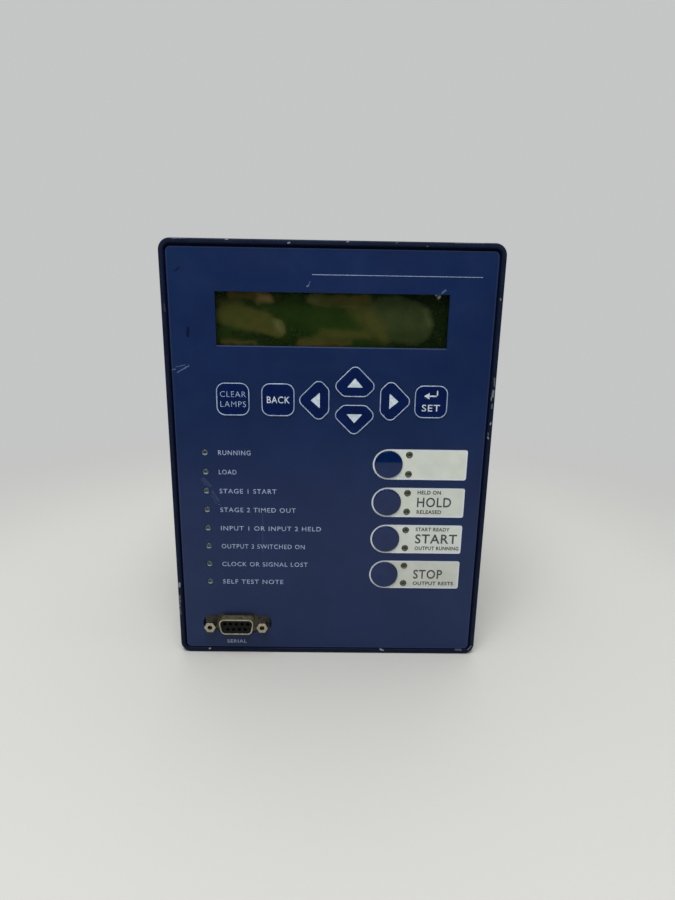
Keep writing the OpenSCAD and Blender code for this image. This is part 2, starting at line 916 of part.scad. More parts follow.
// Countersunk screws through the chassis walls into the bezel's skirt
module bezel_screws() {
    color([0.6, 0.6, 0.6])
    for (s = [-1, 1], t = [-1, 1])
        translate([s * chassis_w / 2, y_screw - y_mid, z_mid + t * side_dz])
            rotate([0, -90 * s, 0])
                difference() {
                    union() {
                        cylinder(h = sheet_t, r1 = side_head_r, r2 = side_screw_r);
                        cylinder(h = sheet_t + fit + skirt_t - 0.4, r = side_screw_r);
                    }
                    translate([-0.3, -1.5, -1])
                        cube([0.6, 3, 1.6]);
                    translate([-1.5, -0.3, -1])
                        cube([3, 0.6, 1.6]);
                }
}

module rear_cover() {
    color([0.64, 0.66, 0.67])
    slab(y_cover, cover_t)
        difference() {
            translate([0, z_mid])
                rounded(chassis_w - 0.6, chassis_h - 0.6, bend_r);
            for (i = [0, 2, 3, 4])
                translate([slot_x(i), z_mid])
                    square([block_w + 2 * cover_window, block_h + 2 * cover_window], center = true);
            translate([card_x(1) - jack_w / 2, jack_z])
                square([jack_w + 2 * cover_window, jack_h + 2 * cover_window], center = true);
            translate([slot_x(5), z_mid])
                square([block_w + 2 * cover_window, current_h + 2 * cover_window], center = true);
            for (p = COVER_SCREWS)
                translate(p)
                    circle(cover_screw_r + fit);
            translate([stud_x, lip_z])
                circle(stud_thick_r + fit);
        }
}
block_h = ways * way_pitch + 2 * way_wall;

module rear_cover_screws() {
    color([0.6, 0.6, 0.6])
    for (p = COVER_SCREWS)
        difference() {
            union() {
                rod(p[0], p[1], y_lip - cover_screw_l, sheet_t + cover_screw_l + cover_t, cover_screw_r);
                rod(p[0], p[1], y_back, cover_head_h, cover_head_r);
            }
            for (size = [[cross_w, cross_l], [cross_l, cross_w]])
                block(p[0] - size[0] / 2, y_back + cover_head_h / 2, p[1] - size[1] / 2,
                    [size[0], cover_head_h, size[1]]);
        }
}

// A moulded guide with a groove for each card and one across for the backplane
module card_guide(z, groove_z) {
    difference() {
        block(inner_r - inner_w / 2, y_guide, z, [inner_w - 2 * inner_r, y_guide_end - y_guide, guide_t]);
        for (i = [0 : slots - 1])
            block(card_x(i) - fit, y_guide - 1, groove_z, [board_t + 2 * fit, y_guide_end - y_guide + 2, groove]);
        block(-inner_w / 2, y_backplane - fit, groove_z, [inner_w, board_t + 2 * fit, groove]);
    }
}

module card_guide_top() {
    color([0.15, 0.15, 0.15])
    card_guide(bezel_h - z_floor - guide_t, bezel_h - z_floor - guide_t);
}

module card_guide_bottom() {
    color([0.15, 0.15, 0.15])
    card_guide(z_floor, z_floor + guide_t - groove);
}

module backplane() {
    color([0.05, 0.3, 0.15])
    block(3 - inner_w / 2, y_backplane, card_low, [inner_w - 6, board_t, card_h]);
}

module backplane_sockets() {
    color([0.12, 0.12, 0.12])
    for (i = [0 : slots - 1])
        difference() {
            block(card_x(i) + (board_t - socket_w) / 2, y_socket, z_mid - socket_h / 2,
                [socket_w, socket_l, socket_h]);
            block(card_x(i) - fit, y_socket + socket_l - card_in - 0.5, z_mid - socket_h / 2 - 1,
                [board_t + 2 * fit, card_in + 2, socket_h + 2]);
        }
}

module front_link() {
    color([0.12, 0.12, 0.12])
    block(-link_w / 2, y_board + board_t, z_mid + 1.5 * link_h, [link_w, y_backplane - y_board - board_t, link_h]);
}

// A card in slot i, with its front end notched where it is not in its socket
module card(i) {
    block(card_x(i), y_socket + socket_l + 0.5, card_low, [board_t, y_card_end - y_socket - socket_l - 0.5, card_h]);
    block(card_x(i), y_card, z_mid - tongue_h / 2, [board_t, y_guide_end - y_card, tongue_h]);
}

module power_card() {
    color([0.05, 0.3, 0.15]) card(0);
}

module processor_card() {
    color([0.05, 0.3, 0.15]) card(1);
}

module io_card(i) {
    color([0.05, 0.3, 0.15]) card(2 + i);
}

module current_card() {
    color([0.05, 0.3, 0.15]) card(5);
}

// A wound core on the power card: the core with the winding's bulge on both faces
module power_transformer() {
    color([0.35, 0.3, 0.2])
    union() {
        block(card_x(0) - core_t, y_parts, z_mid - core_h / 2, [core_t, core_l, core_h]);
        block(card_x(0) - core_t - coil_proud, y_parts + coil_in, z_mid - core_h / 2 + way_wall,
            [core_t + coil_proud, core_l - 2 * coil_in, core_h - 2 * way_wall]);
    }
}

// Four transformers, each a ring core on the current card
module current_transformers() {
    color([0.3, 0.22, 0.12])
    for (i = [0 : 3])
        translate([card_x(5), y_parts + ring_r - y_mid, z_mid + (i - 1.5) * ring_pitch])
            rotate([0, -90, 0])
                difference() {
                    cylinder(h = ring_t, r = ring_r);
                    translate([0, 0, -1])
                        cylinder(h = ring_t + 2, r = ring_bore);
                }
}

module output_relays() {
    color([0.1, 0.1, 0.1])
    for (i = [2 : 4], k = [-1 : 1])
        block(card_x(i) - relay_t, y_parts, z_mid + k * relay_pitch - relay_h / 2, [relay_t, relay_l, relay_h]);
}

module network_jack() {
    color([0.68, 0.68, 0.66])
    difference() {
        block(card_x(1) - jack_w, y_back + jack_out - jack_depth, jack_z - jack_h / 2, [jack_w, jack_depth, jack_h]);
        for (s = [-1, 1]) {
            x = card_x(1) - jack_w + way_wall;
            z = jack_z + s * (mouth_h + mouth_gap) / 2;
            block(x, y_back + jack_out - mouth_l, z - mouth_h / 2, [mouth_w, mouth_l + 1, mouth_h]);
            block(x, y_back + jack_out - mouth_l, z - latch_h / 2, [mouth_w + latch_w, mouth_l + 1, latch_h]);
        }
    }
}

// A clamp terminal block: a stepped moulding with a wire mouth and a screw well at each way
module clamp_block(i) {
    x = slot_x(i);
    half = block_w / 2;
    y_low = y_cover - block_in;
    difference() {
        translate([x, -y_mid, z_mid - block_h / 2])
            linear_extrude(block_h)
                polygon([
                    [-half, y_low], [half, y_low], [half, y_end - block_step],
                    [0.8, y_end - block_step], [0.8, y_end], [-half, y_end]
                ]);
        for (k = [0 : ways - 1]) {
            rod(x - half / 2 + 0.3, way_z(k), y_end - way_hole_l, way_hole_l + 1, way_screw_r);
            block(x + half / 2 + 0.3 - 1.9, y_end - block_step - 7, way_z(k) - 1.9, [3.8, 10, 3.8]);
        }
        for (k = [1 : ways - 1])
            block(x - half - 1, y_end - 0.8, way_z(k) - way_pitch / 2 - 0.4, [block_w + 2, 2, 0.8]);
    }
}
function way_z(k) = z_mid + (k - (ways - 1) / 2) * way_pitch;
function current_z(k) = z_mid + (k - (current_ways - 1) / 2) * current_pitch;

module power_terminals() {
    color([0.07, 0.07, 0.07]) clamp_block(0);
}

module io_terminals(i) {
    color([0.07, 0.07, 0.07]) clamp_block(2 + i);
}

// The current block has a barrier between its ways, for ring lugs
module current_terminals() {
    color([0.07, 0.07, 0.07])
    union() {
        block(slot_x(5) - block_w / 2, y_cover - block_in, z_mid - current_h / 2,
            [block_w, y_end - barrier_h - y_cover + block_in, current_h]);
        for (k = [0 : current_ways])
            block(slot_x(5) - block_w / 2, y_end - barrier_h - 0.5,
                z_mid - current_h / 2 + k * current_pitch, [block_w, barrier_h + 0.5, barrier_t]);
    }
}

// Slotted screws: recessed in the clamp blocks, proud on the current block
module terminal_screws() {
    color([0.75, 0.74, 0.7]) {
        for (i = [0, 2, 3, 4], k = [0 : ways - 1])
            slotted_screw(slot_x(i) - block_w / 4 + 0.3, way_z(k), y_end - way_hole_l, 2.4, way_screw_r - 0.3);
        for (k = [0 : current_ways - 1])
            slotted_screw(slot_x(5), current_z(k), y_end - barrier_h, current_screw_h, current_screw_r);
    }
}

module slotted_screw(x, z, y0, l, r) {
    difference() {
        rod(x, z, y0, l, r);
        block(x - r - 1, y0 + l - 1, z - 0.4, [2 * r + 2, 2, 0.8]);
    }
}

// A hex-headed stud through the lip and the cover, stepped down to its free end
module ground_stud() {
    color([0.75, 0.68, 0.4])
    union() {
        translate([stud_x, y_lip - 3 - y_mid, lip_z])
            rotate([-90, 0, 0])
                cylinder(h = 3, r = 4, $fn = 6);
        rod(stud_x, lip_z, y_lip - 0.1, y_back + nut_l - y_lip + 0.1, stud_thick_r);
        rod(stud_x, lip_z, y_back + nut_l - 0.1, stud_free + 0.1, stud_r);
    }
}

module ground_nut() {
    color([0.75, 0.68, 0.4])
    difference() {
        union() {
            rod(stud_x, lip_z, y_back, 1, 4.4);
            translate([stud_x, y_back + 0.9 - y_mid, lip_z])
                rotate([-90, 0, 0])
                    cylinder(h = nut_l - 0.9, r = 4.05, $fn = 6);
        }
        rod(stud_x, lip_z, y_back - 1, nut_l + 2, stud_thick_r + fit);
    }
}

front_bezel();
panel_gasket();
keypad_overlay();
display_window();
display_glass();
display_frame();
display_backlight();
display_board();
key_reset();
key_back();
key_left();
key_up();
key_down();
key_right();
key_enter();
operator_button(0);  // operator_button_1
operator_button(1);  // operator_button_2
operator_button(2);  // operator_button_3
operator_button(3);  // operator_button_4
label_card(0);  // label_card_1
label_card(1);  // label_card_2
label_card(2);  // label_card_3
label_card(3);  // label_card_4
target_lamps();
button_lamps();
key_switches();
front_board();
front_board_screws();
front_port_shell();
front_port_insulator();
front_port_contacts();
front_port_jackscrews();
chassis();
bezel_screws();
rear_cover();
rear_cover_screws();
card_guide_top();
card_guide_bottom();
backplane();
backplane_sockets();
front_link();
power_card();
power_transformer();
processor_card();
network_jack();
io_card(0);  // io_card_1
io_card(1);  // io_card_2
io_card(2);  // io_card_3
output_relays();
current_card();
current_transformers();
power_terminals();
io_terminals(0);  // io_terminals_1
io_terminals(1);  // io_terminals_2
io_terminals(2);  // io_terminals_3
current_terminals();
terminal_screws();
ground_stud();
ground_nut();
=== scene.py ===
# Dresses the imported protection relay: softened edges, modelled keys and lamps, print, wear and finishes.
import json
import math

import bmesh
import bpy
from mathutils import Matrix, Vector

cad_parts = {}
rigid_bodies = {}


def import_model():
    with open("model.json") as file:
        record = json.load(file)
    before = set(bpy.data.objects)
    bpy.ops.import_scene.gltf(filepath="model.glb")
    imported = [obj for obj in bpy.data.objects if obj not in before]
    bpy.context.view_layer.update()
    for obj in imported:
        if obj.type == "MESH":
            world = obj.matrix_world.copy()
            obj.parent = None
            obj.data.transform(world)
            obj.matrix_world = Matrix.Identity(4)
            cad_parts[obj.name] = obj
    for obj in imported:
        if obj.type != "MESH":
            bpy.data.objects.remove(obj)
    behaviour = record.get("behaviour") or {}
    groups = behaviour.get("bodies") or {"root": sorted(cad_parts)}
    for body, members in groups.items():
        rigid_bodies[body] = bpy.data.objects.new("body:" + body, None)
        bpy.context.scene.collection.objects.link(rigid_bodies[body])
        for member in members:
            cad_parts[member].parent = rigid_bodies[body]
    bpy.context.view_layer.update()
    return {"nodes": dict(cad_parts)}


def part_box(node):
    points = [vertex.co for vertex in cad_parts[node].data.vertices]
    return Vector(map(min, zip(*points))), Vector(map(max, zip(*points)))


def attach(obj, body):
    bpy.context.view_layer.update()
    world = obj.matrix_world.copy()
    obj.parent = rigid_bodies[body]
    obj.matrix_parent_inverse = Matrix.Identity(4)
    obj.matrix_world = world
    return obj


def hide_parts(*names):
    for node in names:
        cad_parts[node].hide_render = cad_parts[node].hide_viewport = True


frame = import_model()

NODES = frame["nodes"]
RELAY = "relay"
MM = 0.001
FRONT = Vector((0, -1, 0))
BACK = Vector((0, 1, 0))
UP = Vector((0, 0, 1))

# Places closer than this, in metres, are one, and ways with a greater cosine between them are one
NEAR = 1e-6
SAME_WAY = 0.99

# Sizes that the solids don't give by their boxes, in metres
KEY_FLANGE = 0.45 * MM
KEY_FLANGE_T = 0.8 * MM
KEY_CORNER = 3.8 * MM
KEY_EDGE = 0.15 * MM
KEY_BORDER = 0.35 * MM
KEY_STEP = 0.2 * MM
KEY_STEP_WALL = 0.1 * MM
KEY_CROWN = 0.06 * MM
KEY_CROWN_IN = 1.6 * MM
BUTTON_EDGE_IN = 0.3 * MM
ARROW_CORNER = 3.0 * MM
ARROW_FLAT = 4.7 * MM
STEM_R = 1.7 * MM
CAP_BACK = 1.3 * MM
OVERLAP = 0.1 * MM
LAMP_DOME = 0.7 * MM
LAMP_CUP = 0.55 * MM
LAMP_CUP_WALL = 0.15 * MM
LAMP_CUP_SINK = 0.3 * MM
LAMP_CHIP = 0.1 * MM
INK = 0.02 * MM
INK_BODY = 0.9 * INK
BEZEL_CORNER = 5.0 * MM
RIM = 2.3 * MM
OVERLAY_CORNER = 2.1 * MM
CARD_CORNER = 1.0 * MM

# Where a finish changes, in metres: its start and end, from an outline, a face or the middle
# Painted shade along the bezel's inner edge and in the gap by the overlay
PAINTED_SHADE_BAND = (-0.9 * MM, -0.3 * MM)
CHIP_DEPTH = (2.0 * MM, 1.2 * MM)
# Painted highlights along the film's and the cards' cut edges
FILM_EDGE_HIGHLIGHT = (0.65 * MM, 0.25 * MM)
CARD_EDGE_HIGHLIGHT = (0.8 * MM, 0.35 * MM)
CRYSTAL_END = (22 * MM, 34 * MM)
SHIELD_DEPTH = (0.8 * MM, 0.7 * MM)
PORT_MOUTH = (0.2 * MM, 0.7 * MM)
# Where the port's recessed flange is painted dark with tarnish and painted shade
PORT_FLANGE_SHADE = (3.9 * MM, 4.4 * MM)

# Angles between faces, in degrees, past which an edge stays sharp or is rounded
SMOOTH_ANGLE = 32
EDGE_ANGLE = 35


# Modelling by hand


def deselect():
    """Leaves nothing selected, in object mode."""
    if bpy.context.mode != "OBJECT":
        bpy.ops.object.mode_set(mode="OBJECT")
    bpy.ops.object.select_all(action="DESELECT")


def take(*pieces):
    """Selects these pieces alone, the first one active."""
    deselect()
    for piece in pieces:
        piece.select_set(True)
    bpy.context.view_layer.objects.active = pieces[0]


def edit(piece):
    """Opens a piece in edit mode with nothing selected."""
    take(piece)
    bpy.ops.object.mode_set(mode="EDIT")
    bpy.ops.mesh.select_all(action="DESELECT")


def pick(kind, test):
    """Selects only the faces or edges of the piece in hand that pass a test."""
    bpy.ops.mesh.select_mode(type=kind)
    bpy.ops.mesh.select_all(action="DESELECT")
    mesh = bmesh.from_edit_mesh(bpy.context.object.data)
    for part in mesh.faces if kind == "FACE" else mesh.edges:
        if test(part):
            part.select_set(True)
    bmesh.update_edit_mesh(bpy.context.object.data)


def facing(way):
    """A test for faces that look one way."""
    return lambda face: face.normal.dot(way) > SAME_WAY


def edges_along(way):
    """A test for edges that run one way."""
    return lambda edge: abs((edge.verts[1].co - edge.verts[0].co).normalized().dot(way)) > SAME_WAY


def edges_at_depth(place):
    """A test for edges that lie at one depth."""
    return lambda edge: all(abs(v.co.y - place) < NEAR for v in edge.verts)


def paint_picked(piece, slot):
    """Gives the faces that are selected one of the piece's materials."""
    piece.active_material_index = slot
    bpy.ops.object.material_slot_assign()


def named(piece, name, body=RELAY):
    """Names a finished piece, smooths its round faces and lets it ride on a body."""
    take(piece)
    bpy.ops.object.transform_apply()
    bpy.ops.object.shade_smooth_by_angle(angle=math.radians(SMOOTH_ANGLE))
    piece.name = name
    piece.data.name = name
    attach(piece, body)
    return piece


def fuse(piece, other):
    """Adds another closed piece to this one as one skin."""
    take(piece)
    union = piece.modifiers.new("union", "BOOLEAN")
    union.operation = "UNION"
    union.solver = "EXACT"
    union.object = other
    bpy.ops.object.modifier_apply(modifier=union.name)
    bpy.data.objects.remove(other)


def join(pieces):
    """Makes one piece of several."""
    take(*pieces)
    if len(pieces) > 1:
        bpy.ops.object.join()
    return bpy.context.object


def copy_at(piece, place, turn=0):
    """A copy with its own mesh, turned in the plane of the front."""
    made = piece.copy()
    made.data = piece.data.copy()
    bpy.context.scene.collection.objects.link(made)
    made.matrix_world = Matrix.Translation(place) @ Matrix.Rotation(turn, 4, "Y")
    take(made)
    bpy.ops.object.transform_apply()
    return made


def soften(name, width, segments):
    """Rounds the edges of a CAD solid by live modifiers, with its mesh left as it is."""
    weld = NODES[name].modifiers.new("weld", "WELD")
    weld.merge_threshold = NEAR
    bevel = NODES[name].modifiers.new("edges", "BEVEL")
    bevel.width = width
    bevel.segments = segments
    bevel.limit_method = "ANGLE"
    bevel.angle_limit = math.radians(EDGE_ANGLE)
    bevel.harden_normals = True


# Materials


def srgb(code):
    """A hex colour as linear red, green, blue and alpha."""
    parts = [int(code[i : i + 2], 16) / 255 for i in (1, 3, 5)]
    return [p / 12.92 if p <= 0.04045 else ((p + 0.055) / 1.055) ** 2.4 for p in parts] + [1]


def feed(material, target, inputs):
    """Gives each named input of a node a value, or a link from another node."""
    for key, value in inputs.items():
        if isinstance(value, bpy.types.Node):
            value = value.outputs[0]
        if isinstance(value, bpy.types.NodeSocket):
            material.node_tree.links.new(value, target.inputs[key])
        else:
            target.inputs[key].default_value = value


def node(material, kind, inputs, **settings):
    """Adds a node with its settings and links."""
    made = material.node_tree.nodes.new("ShaderNode" + kind)
    for key, value in settings.items():
        setattr(made, key, value)
    feed(material, made, inputs)
    return made


def finish(name, inputs):
    """A new material, its shader and the piece's own coordinates."""
    made = bpy.data.materials.new(name)
    made.use_nodes = True
    shader = made.node_tree.nodes["Principled BSDF"]
    feed(made, shader, inputs)
    where = node(made, "TexCoord", {}).outputs["Object"]
    return made, shader, where


def per_mm(size):
    """A texture scale at which the pattern repeats about every size, in millimetres."""
    return 1 / (size * MM)


def grain(material, where, size, depth):
    """A bump of soft grains, by their size and depth in millimetres.

    Grains that are too fine for the render are drawn coarser than in life, so that they show.
    """
    height = node(material, "TexNoise", {"Vector": where, "Scale": per_mm(size), "Detail": 2.0})
    return node(material, "Bump", {"Height": height, "Distance": depth * MM, "Strength": 1.0})


def mottle(material, where, size, dark, light):
    """Two colours in soft clouds of one size, in millimetres."""
    cloud = node(material, "TexNoise", {"Vector": where, "Scale": per_mm(size), "Detail": 3.0})
    share = node(material, "MapRange", {"Value": cloud, "From Min": 0.35, "From Max": 0.65})
    return node(material, "MixRGB", {"Fac": share, "Color1": srgb(dark), "Color2": srgb(light)})


def wander(material, where, size, low, high):
    """A value, such as a roughness, that wanders between two in clouds of one size, in millimetres."""
    cloud = node(material, "TexNoise", {"Vector": where, "Scale": per_mm(size), "Detail": 4.0})
    return node(
        material,
        "MapRange",
        {"Value": cloud, "From Min": 0.3, "From Max": 0.7, "To Min": low, "To Max": high},
    )


def ragged(material, where, size, reach):
    """Coordinates that wander by a little, so that a mark drawn on them has a ragged edge."""
    cloud = node(material, "TexNoise", {"Vector": where, "Scale": per_mm(size), "Detail": 3.0})
    middle = (0.5, 0.5, 0.5)
    even = node(material, "VectorMath", {0: cloud.outputs["Color"], 1: middle}, operation="SUBTRACT")
    step = node(material, "VectorMath", {0: even, "Scale": 2 * reach * MM}, operation="SCALE")
    return node(material, "VectorMath", {0: where, 1: step}, operation="ADD").outputs[0]


def front_point(x, z):
    """A point of the front, given from its middle and its bottom in millimetres."""
    return Vector((x * MM, 0, z * MM))


def on_front(material, where):
    """Coordinates with the depth taken out, so that a mark goes straight through a thin piece."""
    return node(material, "VectorMath", {0: where, 1: (1, 0, 1)}, operation="MULTIPLY").outputs[0]


def mark(material, where, start, end, width, strength, soft=0.5):
    """How much of a scratch, chip or patch is here: a stroke on the front, in millimetres."""
    a, b = front_point(*start), front_point(*end)
    along = b - a
    from_a = node(material, "VectorMath", {0: where, 1: a}, operation="SUBTRACT")
    share = node(
        material,
        "VectorMath",
        {0: from_a, 1: along / along.length_squared},
        operation="DOT_PRODUCT",
    ).outputs["Value"]
    held = node(material, "Clamp", {"Value": share})
    foot = node(material, "VectorMath", {0: along, "Scale": held.outputs[0]}, operation="SCALE")
    off = node(material, "VectorMath", {0: from_a, 1: foot}, operation="DISTANCE").outputs["Value"]
    return node(
        material,
        "MapRange",
        {
            "Value": off,
            "From Min": 0.5 * width * MM,
            "From Max": 0.5 * width * (1 - soft) * MM,
            "To Max": strength,
        },
    )


def marks(material, where, strokes):
    """The strongest of several marks."""
    total = None
    for stroke in strokes:
        one = mark(material, where, *stroke)
        total = one if total is None else node(material, "Math", {0: total, 1: one}, operation="MAXIMUM")
    return total


def inside(material, where, box, corner):
    """How far inside a round-cornered outline a point of the front is, down to the corner's radius."""
    lo, hi = box
    middle, half = (lo + hi) / 2, (hi - lo) / 2
    straight = (half.x - corner, 0, half.z - corner)
    centred = node(material, "VectorMath", {0: where, 1: (middle.x, 0, middle.z)}, operation="SUBTRACT")
    folded = node(material, "VectorMath", {0: centred}, operation="ABSOLUTE")
    past = node(material, "VectorMath", {0: folded, 1: straight}, operation="SUBTRACT")
    kept = node(material, "VectorMath", {0: past, 1: (0, 0, 0)}, operation="MAXIMUM")
    reach = node(material, "VectorMath", {0: kept}, operation="LENGTH").outputs["Value"]
    return node(material, "Math", {0: corner, 1: reach}, operation="SUBTRACT")


def surface(name, inputs, tones, shine, bump=None):
    """A material of one finish, with its sizes in millimetres.

    The tones are a cloud's size and two colours, and the shine is a patch's size and two roughnesses.
    The bump, where there is one, is a grain's size and depth.
    """
    made, shader, where = finish(name, inputs)
    given = {"Base Color": mottle(made, where, *tones), "Roughness": wander(made, where, *shine)}
    if bump:
        given["Normal"] = grain(made, where, *bump)
    feed(made, shader, given)
    return made


def bezel_paint():
    """Textured paint on a die casting: almost black navy, dull, with painted shade along its inner edge and
    in the gap by the overlay, and chipped.
    """
    made, shader, where = finish(
        "textured paint on die-cast metal", {"IOR": 1.5, "Specular IOR Level": 0.11}
    )
    flat = on_front(made, where)
    lo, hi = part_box("front_bezel")
    rim = Vector((RIM, 0, RIM))
    within = inside(made, flat, (lo + rim, hi - rim), BEZEL_CORNER - RIM)
    # Painted shade: the rim's inner edge and the gap by the overlay are painted almost black, where shade
    # falls.
    painted_shade = node(
        made, "MapRange", {"Value": within, "From Min": PAINTED_SHADE_BAND[0], "From Max": PAINTED_SHADE_BAND[1]}
    )
    colour = mottle(made, where, 6, "#091229", "#0e1b32")
    shaded = node(made, "MixRGB", {"Fac": painted_shade, "Color1": colour, "Color2": srgb("#020a24")})
    loose = ragged(made, where, 0.6, 0.35)
    depth = node(made, "SeparateXYZ", {"Vector": loose}).outputs["Y"]
    near = node(
        made,
        "MapRange",
        {"Value": depth, "From Min": lo.y + CHIP_DEPTH[0], "From Max": lo.y + CHIP_DEPTH[1]},
    )
    knocks = marks(made, on_front(made, loose), BEZEL_CHIPS)
    chips = node(made, "Math", {0: knocks, 1: near}, operation="MULTIPLY")
    worn = node(made, "MixRGB", {"Fac": chips, "Color1": shaded, "Color2": srgb("#8d9399")})
    feed(
        made,
        shader,
        {
            "Base Color": worn,
            "Roughness": wander(made, where, 2, 0.5, 0.62),
            "Normal": grain(made, where, 0.35, 0.02),
        },
    )
    return made


def overlay_film():
    """Film printed navy on its back: a fine velvet face that scuffs pale, and a painted highlight along its
    cut edges.
    """
    made, shader, where = finish("velvet polycarbonate film", {"IOR": 1.42, "Specular IOR Level": 0.43})
    flat = on_front(made, where)
    within = inside(made, flat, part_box("keypad_overlay"), OVERLAY_CORNER)
    # Painted highlight: a pale blue band along the film's outline, where its cut edge catches the light.
    rim = node(
        made,
        "MapRange",
        {"Value": within, "From Min": FILM_EDGE_HIGHLIGHT[0], "From Max": FILM_EDGE_HIGHLIGHT[1], "To Max": 0.1},
    )
    colour = mottle(made, where, 25, "#0a2049", "#0d244e")
    edge_highlighted = node(made, "MixRGB", {"Fac": rim, "Color1": colour, "Color2": srgb("#5a6d90")})
    loose = on_front(made, ragged(made, where, 1.2, 0.5))
    scuffs = marks(made, loose, OVERLAY_SCUFFS)
    # Painted highlight along the window's lower cut edge, mixed in with the real scuffs.
    low = mark(made, flat, *WINDOW_EDGE_HIGHLIGHT)
    pale = node(made, "Math", {0: scuffs, 1: low}, operation="MAXIMUM")
    dark = marks(made, loose, OVERLAY_DARK_MARKS)
    scuffed_and_highlit = node(made, "MixRGB", {"Fac": pale, "Color1": edge_highlighted, "Color2": srgb("#7f8cab")})
    marked = node(made, "MixRGB", {"Fac": dark, "Color1": scuffed_and_highlit, "Color2": srgb("#050d22")})
    feed(
        made,
        shader,
        {
            "Base Color": marked,
            "Roughness": wander(made, where, 9, 0.3, 0.38),
            "Normal": grain(made, where, 0.3, 0.004),
        },
    )
    return made


def key_film():
    """The same film where it is embossed for a key: stretched smooth, so darker and glossier."""
    return surface(
        "embossed polycarbonate film",
        {"IOR": 1.45, "Specular IOR Level": 0.3},
        tones=(8, "#081843", "#0a1c4a"),
        shine=(4, 0.12, 0.2),
        bump=(0.4, 0.001),
    )


def button_film():
    """The round buttons' film: navy and smooth enough to show the table's edge as a line."""
    return surface(
        "smooth polycarbonate film",
        {"IOR": 1.43},
        tones=(8, "#031b45", "#05204f"),
        shine=(5, 0.02, 0.035),
        bump=(0.6, 0.0004),
    )


def white_ink():
    """Screen ink on the keys' faces: a cool white, a little thin in places."""
    return surface("white screen ink", {"IOR": 1.5}, (1.2, "#b0bcc8", "#cbd6de"), (1.5, 0.35, 0.5))


def border_ink():
    """The line round a key, printed under the film and bent over its edge: a cooler, thinner white."""
    return surface(
        "white screen ink under film", {"IOR": 1.45}, (2.5, "#8496b2", "#a6b6cc"), (1.5, 0.3, 0.4)
    )


def grey_ink():
    """The small legends' ink, seen through the film's velvet face: a blue grey."""
    return surface("pale blue screen ink", {"IOR": 1.5}, (0.8, "#7c8caa", "#a3b0c8"), (1.5, 0.4, 0.5))


def black_ink():
    """Laser print on the label cards: a dark blue grey, rubbed thin in specks."""
    return surface("laser print on card", {"IOR": 1.5}, (0.5, "#20262e", "#4a5158"), (1.0, 0.5, 0.65))


def label_card(name, dark, light):
    """Coated paper card: warm white with a faint cloud of dirt, a soft sheen, and a painted highlight along
    its cut edge.
    """
    made, shader, where = finish("coated paper card " + name[-1], {"IOR": 1.48})
    flat = on_front(made, where)
    lo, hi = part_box(name)
    far = Vector((hi.x - lo.x, 0, 0))
    round_end = inside(made, flat, (lo, hi + far), (hi.z - lo.z) / 2)
    square_end = inside(made, flat, (lo - far, hi), CARD_CORNER)
    within = node(made, "Math", {0: round_end, 1: square_end}, operation="MINIMUM")
    # Painted highlight: a bluish white band along the card's outline, where its cut edge catches the light.
    edge = node(
        made,
        "MapRange",
        {"Value": within, "From Min": CARD_EDGE_HIGHLIGHT[0], "From Max": CARD_EDGE_HIGHLIGHT[1], "To Max": 0.6},
    )
    colour = mottle(made, where, 9, dark, light)
    edge_highlighted = node(made, "MixRGB", {"Fac": edge, "Color1": colour, "Color2": srgb("#d3dcf0")})
    feed(
        made,
        shader,
        {
            "Base Color": edge_highlighted,
            "Roughness": wander(made, where, 3, 0.45, 0.6),
            "Normal": grain(made, where, 0.25, 0.003),
        },
    )
    return made


def display_crystal():
    """A resting liquid crystal glass: dark green and darkest at its right, with painted reflections in
    olive, brown and grey over it, painted sparkle specks, and pale specks at its corner.
    """
    made, shader, where = finish(
        "liquid crystal glass", {"IOR": 1.52, "Roughness": 0.25, "Specular IOR Level": 0.3}
    )
    flat = on_front(made, where)
    loose = on_front(made, ragged(made, where, 5, 1.8))
    across = node(made, "SeparateXYZ", {"Vector": where}).outputs["X"]
    far = node(
        made, "MapRange", {"Value": across, "From Min": CRYSTAL_END[0], "From Max": CRYSTAL_END[1]}
    )
    green = mottle(made, where, 14, "#0e2103", "#1b3206")
    colour = node(made, "MixRGB", {"Fac": far, "Color1": green, "Color2": srgb("#051603")})
    thin = wander(made, where, 4, 0.65, 1.0)
    # Painted reflections: patches of olive, brown and grey laid on the crystal's own green.
    for tone, painted_reflections in CRYSTAL_REFLECTIONS.items():
        share = node(made, "Math", {0: marks(made, loose, painted_reflections), 1: thin}, operation="MULTIPLY")
        colour = node(made, "MixRGB", {"Fac": share, "Color1": colour, "Color2": srgb(tone)})
    # Painted sparkle: fine specks painted a paler green, where light glints off the crystal.
    specks = node(made, "TexNoise", {"Vector": where, "Scale": per_mm(0.5), "Detail": 1.0})
    shine = node(made, "MapRange", {"Value": specks, "From Min": 0.62, "From Max": 0.7, "To Max": 0.4})
    sparkled = node(made, "MixRGB", {"Fac": shine, "Color1": colour, "Color2": srgb("#4a6030")})
    # Pale, almost white specks at the display's top right corner.
    pale_speck = marks(made, on_front(made, ragged(made, where, 0.7, 0.5)), CRYSTAL_PALE_SPECKS)
    pale_specked = node(made, "MixRGB", {"Fac": pale_speck, "Color1": sparkled, "Color2": srgb("#d4d8c8")})
    feed(made, shader, {"Base Color": pale_specked, "Normal": grain(made, flat, 0.6, 0.001)})
    return made


def display_acrylic():
    """The clear window: hard-coated acrylic that gives little more than a faint haze of smears."""
    return surface(
        "clear acrylic",
        {"IOR": 1.49, "Alpha": 0.1, "Specular IOR Level": 0.3},
        tones=(20, "#1c2610", "#2c3418"),
        shine=(12, 0.04, 0.1),
    )


def lamp_epoxy(name, dark, light):
    """A clear lamp's moulded epoxy: the tone that the cup behind it leaves, under a soft shine."""
    return surface(name, {"IOR": 1.55, "Specular IOR Level": 0.3}, (0.9, dark, light), (1, 0.3, 0.42))


